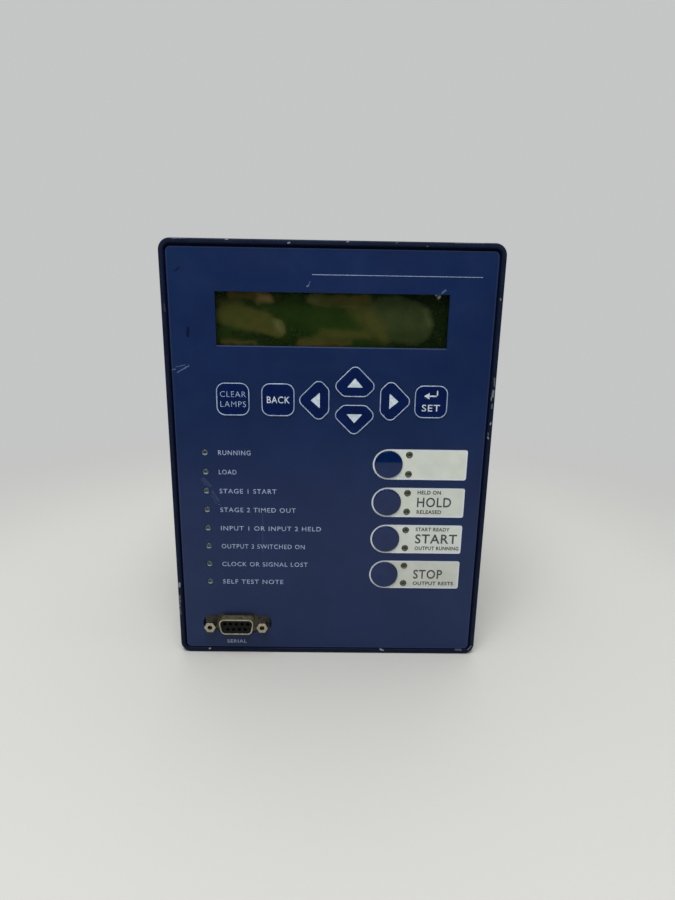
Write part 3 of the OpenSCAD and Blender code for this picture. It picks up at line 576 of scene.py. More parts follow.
def lamp_cup():
    """The unlit middle of a lamp: dark olive, and wet-looking."""
    return surface(
        "unlit lamp cup", {"IOR": 1.55, "Coat Weight": 1.0}, (0.5, "#10170f", "#222a20"), (1, 0.15, 0.3)
    )


def moulded(name, dark, light, low, high, gloss=0.5):
    """A moulded thermoplastic: an even colour, and a fine spark-eroded grain that dulls its shine."""
    return surface(
        name,
        {"IOR": 1.5, "Specular IOR Level": gloss},
        tones=(5, dark, light),
        shine=(3, low, high),
        bump=(0.4, 0.008),
    )


def plated(name, dark, light, low, high):
    """A plated metal: a bright skin that clouds a little, with faint pits."""
    return surface(name, {"Metallic": 1.0}, (4, dark, light), (2, low, high), (0.5, 0.003))


def socket_shield():
    """A network socket: tinned shield at its face, black plastic down inside its mouths."""
    made, shader, where = finish("tinned shield round black plastic", {})
    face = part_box("network_jack")[1].y
    depth = node(made, "SeparateXYZ", {"Vector": where}).outputs["Y"]
    shield = node(
        made,
        "MapRange",
        {"Value": depth, "From Min": face - SHIELD_DEPTH[0], "From Max": face - SHIELD_DEPTH[1]},
    )
    tin = mottle(made, where, 4, "#a9abab", "#c3c5c4")
    colour = node(made, "MixRGB", {"Fac": shield, "Color1": srgb("#0d0d0e"), "Color2": tin})
    shine = wander(made, where, 2, 0.28, 0.42)
    feed(made, shader, {"Base Color": colour, "Metallic": shield, "Roughness": shine})
    return made


def port_metal():
    """The port's shell: nickel rubbed bright at its mouth, dull brown down its sides, and at its recessed
    flange dark with tarnish and painted shade.
    """
    made, shader, where = finish("aged nickel plate", {})
    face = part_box("front_port_shell")[0].y
    depth = node(made, "SeparateXYZ", {"Vector": where}).outputs["Y"]
    aged = node(
        made,
        "MapRange",
        {"Value": depth, "From Min": face + PORT_MOUTH[0], "From Max": face + PORT_MOUTH[1]},
    )
    flange = node(
        made,
        "MapRange",
        {"Value": depth, "From Min": face + PORT_FLANGE_SHADE[0], "From Max": face + PORT_FLANGE_SHADE[1]},
    )
    bright = mottle(made, where, 3, "#a9a38d", "#c8c2ae")
    brown = mottle(made, where, 2, "#4a4537", "#6a6452")
    # Tarnish and painted shade: the recessed flange is painted dark, where shade falls.
    dark = mottle(made, where, 2, "#2f2d22", "#4b4738")
    sides = node(made, "MixRGB", {"Fac": flange, "Color1": brown, "Color2": dark})
    colour = node(made, "MixRGB", {"Fac": aged, "Color1": bright, "Color2": sides})
    skin = node(made, "MapRange", {"Value": aged, "To Min": 1.0, "To Max": 0.35})
    shine = wander(made, where, 2, 0.3, 0.45)
    feed(made, shader, {"Base Color": colour, "Metallic": skin, "Roughness": shine})
    return made


def galvanised_sheet():
    """Zinc-coated sheet steel: a cool grey with crystal flakes a few millimetres across."""
    made, shader, where = finish("zinc-coated sheet steel", {"Metallic": 1.0})
    flakes = node(made, "TexVoronoi", {"Vector": where, "Scale": per_mm(4)})
    tone = node(made, "SeparateXYZ", {"Vector": flakes.outputs["Color"]})
    colour = node(made, "MixRGB", {"Fac": tone, "Color1": srgb("#adb1b3"), "Color2": srgb("#b8bcbe")})
    shine = node(made, "MapRange", {"Value": tone.outputs["Y"], "To Min": 0.38, "To Max": 0.46})
    pits = grain(made, where, 0.8, 0.004)
    feed(made, shader, {"Base Color": colour, "Roughness": shine, "Normal": pits})
    return made


def circuit_board():
    """Glass laminate under green solder mask, with the copper's pattern as paler bands."""
    made, shader, where = finish("solder mask on laminate", {"IOR": 1.5})
    tracks = node(made, "TexBrick", {"Vector": where, "Scale": per_mm(6), "Mortar Size": 0.03})
    feed(made, tracks, {"Color1": srgb("#0c4a2a"), "Color2": srgb("#0f5431"), "Mortar": srgb("#2a7a4c")})
    shine = wander(made, where, 4, 0.25, 0.4)
    weave = grain(made, where, 0.5, 0.004)
    feed(made, shader, {"Base Color": tracks, "Roughness": shine, "Normal": weave})
    return made


def gasket_rubber():
    """Closed-cell rubber: black, dull and finely pored."""
    return surface(
        "cellular rubber",
        {"IOR": 1.5},
        tones=(3, "#141414", "#1f1f1f"),
        shine=(2, 0.75, 0.9),
        bump=(0.3, 0.03),
    )


# Wear as strokes on the front, in millimetres: start, end, width, strength and, where given, softness
BEZEL_CHIPS = [
    ((-44, 191.5), (-43.1, 191.6), 0.6, 0.6),
    ((-18.5, 190.5), (-17.9, 190.8), 0.8, 0.7),
    ((5.6, 191.4), (6.4, 191.5), 0.5, 0.6),
    ((25.9, 191.3), (26.3, 191.5), 0.5, 0.4),
    ((38.6, 190.1), (38.9, 190.3), 0.6, 0.35),
    ((50, 191.7), (62, 191.9), 0.35, 0.25),
    ((-66, 191.6), (-60, 191.8), 0.3, 0.25),
    ((-70.6, 165.4), (-70.4, 162.8), 0.9, 0.08),
    ((70.7, 170), (70.7, 169.3), 0.7, 0.4),
    ((71, 136.6), (71.3, 133), 0.8, 0.3),
    ((71, 131), (70.8, 128.6), 1.3, 0.5),
    ((70.3, 128), (70.4, 127), 0.7, 0.45),
    ((70.9, 125), (70.9, 123.4), 0.9, 0.3),
    ((71, 116.8), (70.9, 116), 0.8, 0.75),
    ((70.2, 112.2), (70.3, 111.2), 0.6, 0.3),
    ((70.3, 110.2), (70.5, 109.6), 0.9, 0.75),
    ((-71.1, 36.8), (-71.2, 35.2), 1.3, 0.8),
    ((-71.2, 30.4), (-71.3, 29), 0.8, 0.4),
    ((-71.3, 28), (-71.3, 27), 0.9, 0.5),
    ((-71.5, 26), (-71.5, 24.6), 0.9, 0.4),
    ((-71.5, 23.4), (-71.4, 20.6), 0.9, 0.35),
    ((-58.3, 1.7), (-57.8, 1.8), 0.9, 0.8),
    ((25.9, 2), (27.4, 1.6), 0.8, 0.7),
    ((63.2, 2.1), (66, 2.1), 0.6, 0.25),
    ((69.2, 2.4), (70.8, 4.6), 0.6, 0.4),
]
OVERLAY_SCUFFS = [
    ((-69, 138), (-67.6, 138.3), 0.5, 0.35),
    ((-66.7, 137), (-61.8, 139.9), 0.6, 0.45),
    ((-67.4, 139.3), (-63.4, 140.2), 0.5, 0.3),
    ((-10.7, 173.7), (-10.2, 173.9), 0.9, 0.55),
    ((-10.3, 173.9), (-9.3, 175.6), 0.5, 0.35),
    ((-57.9, 88.6), (-55.4, 85.6), 2.2, 0.05, 0.8),
    ((-57.6, 89.3), (-54.3, 85.4), 0.9, 0.14, 0.9),
    ((-58.6, 88.9), (-57, 86.1), 0.8, 0.1, 0.9),
    ((-53.9, 82.2), (-51.8, 78), 2.0, 0.04, 0.8),
    ((-53.9, 83.1), (-50.9, 78.3), 0.9, 0.14, 0.9),
    ((-54.3, 81), (-52.2, 76.8), 0.7, 0.09, 0.9),
    ((-50.9, 76.5), (-50.8, 76.5), 0.8, 0.25),
    ((-31, 74), (-31.2, 53), 0.4, 0.1),
    ((46, 171.9), (47.5, 173), 0.9, 0.4, 0.8),
]
OVERLAY_DARK_MARKS = [
    ((-61.5, 152.6), (-61.3, 155.7), 1.6, 0.9),
    ((-65.6, 179.1), (-63.9, 180.2), 1.1, 0.7),
]

# The painted highlight along the film's cut edge under the window, as a stroke too
WINDOW_EDGE_HIGHLIGHT = ((-49.2, 148.55), (49.2, 148.55), 0.5, 0.22)

# Painted reflections on the resting display, by colour, and the pale specks at its corner, as strokes in the
# same way
CRYSTAL_REFLECTIONS = {
    "#3a4426": [((24, 161.4), (34.8, 159.2), 20, 1.0, 0.2)],
    "#48471c": [
        ((-45, 161.7), (-30, 158.6), 12, 1.0, 0.35),
        ((-38, 160.2), (-24.5, 156.2), 9.5, 1.0, 0.25),
        ((-47, 166.5), (-40, 166), 7, 0.8, 0.7),
        ((-8, 168.4), (15, 168), 6.5, 1.0, 0.4),
        ((11, 166), (20.5, 156), 13, 1.0, 0.7),
        ((-13, 150.2), (-4, 152), 6, 0.9, 0.6),
        ((-4, 153.6), (18, 154.4), 6.5, 0.9, 0.7),
        ((16, 156), (23, 153), 8, 0.9, 0.8),
    ],
    "#57451e": [
        ((-44, 169.8), (-33.5, 169.6), 4.5, 0.9, 0.7),
        ((0, 168.8), (14, 168.4), 4.5, 0.6, 0.8),
        ((-14, 150), (8, 150.4), 4.5, 0.8, 0.9),
        ((-47.5, 150), (-33, 149.6), 2.6, 0.8, 0.8),
    ],
    "#8a7044": [((-30.8, 168.8), (-27.4, 168.6), 6, 1.0, 0.9)],
    "#68653e": [
        ((-23.8, 158), (-22.8, 155.8), 5.5, 0.8, 1.0),
        ((-9.8, 168.6), (-6.8, 168.2), 5, 0.7, 1.0),
    ],
    "#0b1a03": [((-43, 153.6), (-27, 151.6), 4, 0.9, 0.7)],
    "#222e10": [((27, 153.4), (38, 153.6), 9.5, 0.8, 1.0)],
    "#4a5438": [((40.5, 164.5), (42.6, 158.5), 4, 0.6, 0.8)],
}
CRYSTAL_PALE_SPECKS = [
    ((45.7, 170), (46, 170.4), 1.2, 1.0),
    ((44.2, 171), (44.5, 171.2), 0.7, 0.7),
    ((44.8, 170.6), (46.2, 171.2), 1.4, 0.3, 0.9),
    ((45.2, 169.2), (45.5, 169.4), 0.6, 0.4),
]

paint = bezel_paint()
film = overlay_film()
cap_film = key_film()
round_film = button_film()
ink_white = white_ink()
ink_border = border_ink()
ink_grey = grey_ink()
ink_black = black_ink()
crystal = display_crystal()
acrylic = display_acrylic()
cup = lamp_cup()
rubber = gasket_rubber()
zinc = galvanised_sheet()
laminate = circuit_board()
black_plastic = moulded("glass-filled polyester", "#101012", "#19191b", 0.42, 0.55)
port_plastic = moulded("unfilled black polyester", "#030303", "#080807", 0.55, 0.65, gloss=0.2)
guide_plastic = moulded("moulded nylon", "#1a1a1c", "#242426", 0.45, 0.6)
diffuser = moulded("white diffuser acrylic", "#d6d9d0", "#e2e4dd", 0.3, 0.4)
switch_plastic = moulded("phenolic switch body", "#131313", "#1d1d1d", 0.4, 0.5)
frame_paint = moulded("black painted steel", "#0b0b0c", "#121214", 0.4, 0.55)
nickel = plated("nickel plate, yellowed", "#a39d86", "#c4beaa", 0.25, 0.4)
bright_steel = plated("zinc-plated steel", "#b2b4b3", "#cfd1cf", 0.22, 0.36)
gold = plated("gold-plated contact", "#b98f3c", "#d6b05c", 0.25, 0.38)
# The port's contacts, painted dark brown: painted shade down their holes.
shaded_gold = plated("gold-plated contact painted as shade", "#2b2213", "#3f3319", 0.35, 0.5)
brass = plated("yellow-passivated brass", "#b9a061", "#cfb878", 0.25, 0.4)
tin_shield = socket_shield()
winding = moulded("wound core in tape", "#5a4423", "#7a5e30", 0.45, 0.6)

# The cards' two tones, from the top card to the bottom one: the lower cards are painted darker, a painted
# shade where the light falls off downwards
CARD_TONES = {
    "label_card_1": ("#c5cac1", "#d0d4ca"),
    "label_card_2": ("#c0c6bc", "#c9cec5"),
    "label_card_3": ("#c2c8bf", "#ccd1c9"),
    "label_card_4": ("#b6bab0", "#c1c5bb"),
}

FINISHES = {
    "front_bezel": paint,
    "panel_gasket": rubber,
    "keypad_overlay": film,
    "display_window": acrylic,
    "display_glass": crystal,
    "display_frame": frame_paint,
    "display_backlight": diffuser,
    "key_switches": switch_plastic,
    "front_port_shell": port_metal(),
    "front_port_insulator": port_plastic,
    "front_port_contacts": shaded_gold,
    "front_port_jackscrews": nickel,
    "chassis": zinc,
    "rear_cover": zinc,
    "card_guide_top": guide_plastic,
    "card_guide_bottom": guide_plastic,
    "backplane_sockets": black_plastic,
    "front_link": black_plastic,
    "power_transformer": winding,
    "current_transformers": winding,
    "output_relays": black_plastic,
    "network_jack": tin_shield,
    "power_terminals": black_plastic,
    "current_terminals": black_plastic,
    "ground_stud": brass,
    "ground_nut": brass,
}
for name in NODES:
    if name in FINISHES:
        continue
    if name.startswith("label_card"):
        FINISHES[name] = label_card(name, *CARD_TONES[name])
    elif name.startswith("io_terminals"):
        FINISHES[name] = black_plastic
    elif name.endswith("screws"):
        FINISHES[name] = bright_steel
    elif name.endswith(("board", "plane")) or "card" in name:
        FINISHES[name] = laminate
for name, material in FINISHES.items():
    NODES[name].data.materials.clear()
    NODES[name].data.materials.append(material)

# Edges of the solids that stay in sight: width in millimetres, and segments
SOFT_EDGES = {
    "rear_cover": (0.2, 2),
    "panel_gasket": (0.2, 2),
    "power_terminals": (0.3, 1),
    "io_terminals_1": (0.3, 1),
    "io_terminals_2": (0.3, 1),
    "io_terminals_3": (0.3, 1),
    "current_terminals": (0.3, 1),
    "front_port_shell": (0.15, 2),
    "front_port_jackscrews": (0.15, 2),
    "network_jack": (0.15, 2),
    "ground_nut": (0.15, 2),
    "ground_stud": (0.15, 2),
}
for name, (width, segments) in SOFT_EDGES.items():
    soften(name, width * MM, segments)


# Keys and operator buttons


def square_prism(side, corner, y0, y1):
    """A square block with round corners, about the middle of the front's plane."""
    deselect()
    bpy.ops.mesh.primitive_cube_add(size=1, location=(0, (y0 + y1) / 2, 0))
    piece = bpy.context.object
    piece.scale = (side, y1 - y0, side)
    bpy.ops.object.transform_apply()
    edit(piece)
    pick("EDGE", edges_along(BACK))
    bpy.ops.mesh.bevel(offset=corner, segments=10)
    return piece


def arrow_prism(half, corner, flat, y0, y1):
    """A block of an arrow key's outline, pointing up: a square on its corner, cut flat below its middle."""
    reach = half + corner * (math.sqrt(2) - 1)
    middle = (0, (y0 + y1) / 2, 0)
    deselect()
    bpy.ops.mesh.primitive_cube_add(size=1, location=middle, rotation=(0, math.radians(45), 0))
    piece = bpy.context.object
    piece.scale = (reach * math.sqrt(2), y1 - y0, reach * math.sqrt(2))
    bpy.ops.object.transform_apply()
    edit(piece)
    bpy.ops.mesh.select_all(action="SELECT")
    bpy.ops.mesh.bisect(plane_co=(0, 0, -flat), plane_no=UP, use_fill=True, clear_inner=True)
    lengthwise = edges_along(BACK)
    pick("EDGE", lambda edge: lengthwise(edge) and edge.verts[0].co.z > NEAR - flat)
    bpy.ops.mesh.bevel(offset=corner, segments=10)
    pick("EDGE", lambda edge: lengthwise(edge) and edge.verts[0].co.z < NEAR - flat)
    bpy.ops.mesh.bevel(offset=corner * math.tan(math.radians(22.5)), segments=6)
    return piece


def round_prism(radius, y0, y1, vertices=64):
    """A round block along the depth."""
    deselect()
    bpy.ops.mesh.primitive_cylinder_add(
        vertices=vertices,
        radius=radius,
        depth=y1 - y0,
        location=(0, (y0 + y1) / 2, 0),
        rotation=(math.radians(90), 0, 0),
    )
    piece = bpy.context.object
    bpy.ops.object.transform_apply()
    edit(piece)
    return piece


def cap_face(piece, y0, bordered):
    """Rounds the front edge of a key, and sinks its face inside a printed border if it has one."""
    piece.data.materials.append(cap_film if bordered else round_film)
    piece.data.materials.append(ink_border)
    edit(piece)
    pick("EDGE", edges_at_depth(y0))
    bpy.ops.mesh.bevel(offset=KEY_EDGE, segments=3)
    if bordered:
        pick("FACE", lambda face: face.calc_center_median().y < y0 + KEY_EDGE)
        paint_picked(piece, 1)
        pick("FACE", facing(FRONT))
        bpy.ops.mesh.inset(thickness=KEY_BORDER - KEY_EDGE)
        bpy.ops.mesh.inset(thickness=KEY_STEP_WALL, depth=-KEY_STEP)
        paint_picked(piece, 0)
        bpy.ops.mesh.inset(thickness=KEY_CROWN_IN, depth=KEY_CROWN)
    else:
        pick("FACE", facing(FRONT))
        bpy.ops.mesh.inset(thickness=BUTTON_EDGE_IN)


def finished_key(shape, y0, y_end, bordered):
    """One whole key: its cap, the flange behind the overlay and the stem."""
    y_flange = y0 + CAP_BACK
    cap = shape(0, y0, y_flange + OVERLAP)
    cap_face(cap, y0, bordered)
    fuse(cap, shape(KEY_FLANGE, y_flange, y_flange + KEY_FLANGE_T))
    stem = round_prism(STEM_R, y_flange + KEY_FLANGE_T / 2, y_end, 32)
    fuse(cap, stem)
    return cap


def cap_size(name):
    """A key's size across its cap."""
    lo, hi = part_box(name)
    return hi - lo - Vector((2 * KEY_FLANGE, 0, 2 * KEY_FLANGE))


key_lo, key_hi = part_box("key_reset")
key_side = cap_size("key_reset").x
arrow_half = cap_size("key_up").x / 2
button_r = cap_size("operator_button_1").x / 2
KEY_SHAPES = {
    "square": lambda grow, y0, y1: square_prism(key_side + 2 * grow, KEY_CORNER + grow, y0, y1),
    "arrow": lambda grow, y0, y1: arrow_prism(
        arrow_half + grow, ARROW_CORNER + grow, ARROW_FLAT + grow, y0, y1
    ),
    "round": lambda grow, y0, y1: round_prism(button_r + grow, y0, y1),
}
masters = {
    kind: finished_key(shape, key_lo.y, key_hi.y, kind != "round") for kind, shape in KEY_SHAPES.items()
}

# Each key's shape, and its turn in degrees
KEYS = {
    "key_reset": ("square", 0),
    "key_back": ("square", 0),
    "key_enter": ("square", 0),
    "key_up": ("arrow", 0),
    "key_right": ("arrow", 90),
    "key_down": ("arrow", 180),
    "key_left": ("arrow", 270),
    "operator_button_1": ("round", 0),
    "operator_button_2": ("round", 0),
    "operator_button_3": ("round", 0),
    "operator_button_4": ("round", 0),
}


def key_middle(name):
    """The point that a key is drawn about: an arrow's tip is further from it than its flat side."""
    lo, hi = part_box(name)
    middle = (lo + hi) / 2
    kind, degrees = KEYS[name]
    turn = math.radians(degrees)
    if kind == "arrow":
        lean = (arrow_half - ARROW_FLAT) / 2
        middle -= lean * Vector((math.sin(turn), 0, math.cos(turn)))
    return Vector((middle.x, 0, middle.z))


for name, (kind, turn) in KEYS.items():
    made = copy_at(masters[kind], key_middle(name), math.radians(turn))
    named(made, name + "_cap", name + "_body")
    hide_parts(name)
for master in masters.values():
    bpy.data.objects.remove(master)


# Lamps

LAMPS_PER_COLUMN = 8

# Where the painted highlight sits in a lamp: how far below its middle, in radii, and how far a face there
# looks forward
PAINTED_LIT_BELOW = 0.3
PAINTED_LIT_FORWARD = 0.15

# Each column's epoxy, and the same epoxy painted paler low down as a painted highlight
LAMP_TONES = {
    "target_lamps": (
        lamp_epoxy("clear epoxy", "#333f48", "#48555f"),
        lamp_epoxy("clear epoxy with painted highlight", "#7c8993", "#99a3ab"),
    ),
    "button_lamps": (
        lamp_epoxy("clear epoxy over a dark cup", "#33372a", "#4a4e3e"),
        lamp_epoxy("clear epoxy with fainter painted highlight", "#55584a", "#6c6f62"),
    ),
}


def lamp_lens(y0, y1, radius, rim, lit):
    """A lamp: a rounded rim round a dark cup, painted paler low down as a painted highlight, on a body that
    goes back to its board.
    """
    piece = round_prism(radius, y0, y1, 32)
    for material in (rim, cup, lit):
        piece.data.materials.append(material)
    edit(piece)
    pick("EDGE", edges_at_depth(y0))
    bpy.ops.mesh.bevel(offset=LAMP_DOME, segments=5)
    pick("FACE", facing(FRONT))
    bpy.ops.mesh.inset(thickness=radius - LAMP_DOME - LAMP_CUP)
    bpy.ops.mesh.inset(thickness=LAMP_CUP_WALL, depth=-LAMP_CUP_SINK)
    bpy.ops.mesh.select_more()
    paint_picked(piece, 1)
    sunk = y0 + LAMP_CUP_SINK / 2
    pick("FACE", lambda face: facing(FRONT)(face) and face.calc_center_median().y > sunk)
    bpy.ops.mesh.inset(thickness=LAMP_CUP_WALL, depth=LAMP_CHIP)
    # Painted highlight: the low faces that look forward get the paler epoxy.
    low = -PAINTED_LIT_BELOW * radius
    pick("FACE", lambda face: face.calc_center_median().z < low and face.normal.y < -PAINTED_LIT_FORWARD)
    paint_picked(piece, 2)
    deselect()
    return piece


def lamp_places(name):
    """The middles of a column's lamps, from the top down."""
    lo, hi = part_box(name)
    radius = (hi.x - lo.x) / 2
    pitch = (hi.z - lo.z - 2 * radius) / (LAMPS_PER_COLUMN - 1)
    return [Vector((lo.x + radius, 0, hi.z - radius - i * pitch)) for i in range(LAMPS_PER_COLUMN)]


for name, (rim, lit) in LAMP_TONES.items():
    lo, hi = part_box(name)
    master = lamp_lens(lo.y, hi.y, (hi.x - lo.x) / 2, rim, lit)
    row = [copy_at(master, place) for place in lamp_places(name)]
    bpy.data.objects.remove(master)
    made = named(join(row), name + "_lenses", RELAY)
    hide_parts(name)


# Contact springs of the network sockets, down inside each mouth on the side away from its latch

SPRINGS_PER_MOUTH = 8
SPRING_PITCH = 1.02 * MM
SPRING_SIZE = (0.3 * MM, 6.5 * MM, 0.45 * MM)
SPRING_EDGE = 0.12 * MM
SPRING_LEAN = 18
SPRING_OFF_WALL = 1.4 * MM
MOUTH_WALL = 2.0 * MM
MOUTH_STEP = 16.4 * MM


def contact_spring():
    """One sprung wire that slopes in from the mouth's wall."""
    deselect()
    bpy.ops.mesh.primitive_cube_add(size=1, rotation=(0, 0, math.radians(SPRING_LEAN)))
    piece = bpy.context.object
    piece.scale = SPRING_SIZE
    bpy.ops.object.transform_apply()
    edit(piece)
    pick("EDGE", edges_along(UP))
    bpy.ops.mesh.bevel(offset=SPRING_EDGE, segments=3)
    piece.data.materials.append(gold)
    deselect()
    return piece


lo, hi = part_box("network_jack")
spring_x = lo.x + MOUTH_WALL + SPRING_OFF_WALL
spring_y = hi.y - SPRING_SIZE[1]
spring = contact_spring()
springs = []
for mouth in (-0.5, 0.5):
    for i in range(SPRINGS_PER_MOUTH):
        rise = mouth * MOUTH_STEP + (i - (SPRINGS_PER_MOUTH - 1) / 2) * SPRING_PITCH
        springs.append(copy_at(spring, Vector((spring_x, spring_y, (lo.z + hi.z) / 2 + rise))))
bpy.data.objects.remove(spring)
named(join(springs), "network_springs", RELAY)


# Print

overlay_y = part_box("keypad_overlay")[0].y
card_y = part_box("label_card_1")[0].y
face_y = key_lo.y + KEY_STEP - KEY_CROWN
BAR_ROUND = 0.45
TRIANGLE_ROUND = 0.08


def words(text, x, z, cap, y, ink, width, align="LEFT", weight=0.004, spread=1.1):
    """A line of capitals, with its left end or its middle at x and its foot at z, in millimetres."""
    deselect()
    bpy.ops.object.text_add()
    made = bpy.context.object
    made.data.body = text
    made.data.align_x = align
    made.data.resolution_u = 3
    made.data.offset = weight
    made.data.space_character = spread
    bpy.ops.object.convert(target="MESH")
    made = bpy.context.object
    tall = cap * MM / made.dimensions.y
    wide = width * MM / made.dimensions.x
    left = min(v.co.x for v in made.data.vertices) if align == "LEFT" else 0
    foot = min(v.co.y for v in made.data.vertices)
    for v in made.data.vertices:
        v.co = Vector(((v.co.x - left) * wide + x * MM, y - INK, (v.co.y - foot) * tall + z * MM))
    made.data.materials.append(ink)
    edit(made)
    bpy.ops.mesh.select_all(action="SELECT")
    bpy.ops.mesh.remove_doubles(threshold=NEAR / 10)
    bpy.ops.mesh.extrude_region_move(TRANSFORM_OT_translate={"value": (0, INK_BODY, 0)})
    bpy.ops.mesh.select_all(action="SELECT")
    bpy.ops.mesh.normals_make_consistent(inside=False)
    deselect()
    return made


def bar(x0, x1, z, thick, y, ink):
    """A printed line with round ends."""
    deselect()
    bpy.ops.mesh.primitive_cube_add(size=1, location=((x0 + x1) / 2 * MM, y - INK / 2, z * MM))
    made = bpy.context.object
    made.scale = ((x1 - x0) * MM, INK_BODY, thick * MM)
    bpy.ops.object.transform_apply()
    edit(made)
    pick("EDGE", edges_along(BACK))
    bpy.ops.mesh.bevel(offset=BAR_ROUND * min(thick, x1 - x0) * MM, segments=3)
    made.data.materials.append(ink)
    deselect()
    return made


def triangle(base, tall, foot=0):
    """A printed triangle that points up, in millimetres about the middle of the front's plane."""
    deselect()
    bpy.ops.mesh.primitive_cylinder_add(
        vertices=3,
        radius=1,
        depth=INK_BODY,
        location=(0, face_y - INK / 2, 0),
        rotation=(math.radians(90), 0, 0),
    )
    made = bpy.context.object
    bpy.ops.object.transform_apply()
    low = min(v.co.z for v in made.data.vertices)
    high = max(v.co.z for v in made.data.vertices)
    side = max(v.co.x for v in made.data.vertices)
    for v in made.data.vertices:
        v.co.x *= base / 2 / side * MM
        v.co.z = (foot + (v.co.z - low) / (high - low) * tall) * MM
    edit(made)
    pick("EDGE", edges_along(BACK))
    bpy.ops.mesh.bevel(offset=TRIANGLE_ROUND * tall * MM, segments=3)
    made.data.materials.append(ink_white)
    deselect()
    return made


# Legend and its width beside each lamp
LEGENDS = [
    ("RUNNING", 14.6),
    ("LOAD", 8),
    ("STAGE 1 START", 26),
    ("STAGE 2 TIMED OUT", 34.8),
    ("INPUT 1 OR INPUT 2 HELD", 46.6),
    ("OUTPUT 3 SWITCHED ON", 39),
    ("CLOCK OR SIGNAL LOST", 40.4),
    ("SELF TEST NOTE", 28.8),
]
LEGEND_X = -50.5
LEGEND_CAP = 2.2
LEGEND_SPREAD = 1.15

# The thin rule in the header: its ends, height and thickness
RULE = (-8.6, 62.8, 178.4, 0.21)

# The word by the port: its middle, foot and height, its width and its weight
PORT_WORD_PLACE = (-44.8, 4.6, 1.9)
PORT_WORD_WIDTH = 9.5
PORT_WORD_WEIGHT = 0.008

printed = [bar(*RULE, overlay_y, ink_grey)]
for (text, width), place in zip(LEGENDS, lamp_places("target_lamps")):
    foot = place.z / MM - LEGEND_CAP / 2
    legend = words(text, LEGEND_X, foot, LEGEND_CAP, overlay_y, ink_grey, width, spread=LEGEND_SPREAD)
    printed.append(legend)
port_word = words(
    "SERIAL",
    *PORT_WORD_PLACE,
    overlay_y,
    ink_grey,
    PORT_WORD_WIDTH,
    "CENTER",
    PORT_WORD_WEIGHT,
    LEGEND_SPREAD,
)
printed.append(port_word)
named(join(printed), "overlay_print", RELAY)

# Big word, line above and line below on each card, with their widths
CARDS = {
    "label_card_2": (("HOLD", 15.8), ("HELD ON", 10.8), ("RELEASED", 11.5)),
    "label_card_3": (("START", 19.7), ("START READY", 16), ("OUTPUT RUNNING", 20.8)),
    "label_card_4": (("STOP", 13.8), None, ("OUTPUT RESTS", 19.4)),
}
CARD_TEXT_X = 40.3

# The foot of each of the three, from the card's middle, its height and its weight
CARD_LINES = [(-2.2, 4.75, 0.016), (4.0, 1.9, 0.032), (-5.5, 1.9, 0.032)]

for name, texts in CARDS.items():
    lo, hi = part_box(name)
    middle = (lo.z + hi.z) / 2 / MM
    lines = []
    for line, (foot, cap, weight) in zip(texts, CARD_LINES):
        if line:
            text, width = line
            made = words(text, CARD_TEXT_X, middle + foot, cap, card_y, ink_black, width, weight=weight)
            lines.append(made)
    named(join(lines), name + "_print", RELAY)

# The triangle on an arrow key: its base, height and foot
ARROW_SIGN = (6.9, 4.0, -0.5)

# The bent arrow over the last key's word, about its own middle, and how far up the key that is
RETURN_LEFT = -1.4
RETURN_RIGHT = 2.9
RETURN_THICK = 0.6
RETURN_RISE = 2.8
RETURN_HEAD = (2.9, 2.4)
RETURN_HEAD_X = -0.8
RETURN_UP = 2.6

# The words on a key: ink, weight and spread, then each line's foot from the key's middle, height and width
KEY_WORDS = {
    "key_reset": (ink_border, -0.012, 1.15, [("CLEAR", 1.0, 2.5, 11.2), ("LAMPS", -3.4, 2.5, 11.2)]),
    "key_back": (ink_white, 0.004, 1.1, [("BACK", -1.5, 3.0, 10)]),
    "key_enter": (ink_white, 0.004, 1.1, [("SET", -4.2, 3.0, 8)]),
}


def arrow_sign(name):
    """The solid triangle on an arrow key."""
    drawn = triangle(*ARROW_SIGN)
    placed = copy_at(drawn, key_middle(name), math.radians(KEYS[name][1]))
    bpy.data.objects.remove(drawn)
    return placed


def return_sign(x, z):
    """The bent arrow over the last key's word, in millimetres about its middle."""
    right = x + RETURN_RIGHT
    middle = z + (RETURN_RISE - RETURN_THICK) / 2
    shaft = bar(x + RETURN_LEFT, right, z, RETURN_THICK, face_y, ink_white)
    riser = bar(right - RETURN_THICK, right, middle, RETURN_RISE, face_y, ink_white)
    drawn = triangle(*RETURN_HEAD)
    head = copy_at(drawn, front_point(x + RETURN_HEAD_X, z), math.radians(270))
    bpy.data.objects.remove(drawn)
    return [shaft, riser, head]


for name in ("key_left", "key_up", "key_down", "key_right"):
    named(arrow_sign(name), name + "_sign", name + "_body")
for name, (ink, weight, spread, lines) in KEY_WORDS.items():
    place = key_middle(name) / MM
    signs = []
    for text, foot, cap, width in lines:
        made = words(text, place.x, place.z + foot, cap, face_y, ink, width, "CENTER", weight, spread)
        signs.append(made)
    if name == "key_enter":
        signs += return_sign(place.x, place.z + RETURN_UP)
    named(join(signs), name + "_sign", name + "_body")


# Stage, light and camera

FLOOR_REACH = 4.0
FLOOR_DROP = 0.05 * MM
FLOOR_FADE = (0.22, 0.5)
SHEET_FRONT = -0.424
FLAG_SIZE = 2.0
ROOM_TONE = "#fafbfb"
ROOM_FILL = 0.38
ROOM_SEEN = 0.58

# Square lamps: place, the point that they look at, size and power
SOFT_BOXES = {
    "top softbox": ((0, 0.36, 1.1), (0, 0.1, 0), 1.3, 8.0),
    "front softbox": ((-0.05, -0.36, 0.66), (0, -0.07, 0.15), 0.35, 3.7),
}

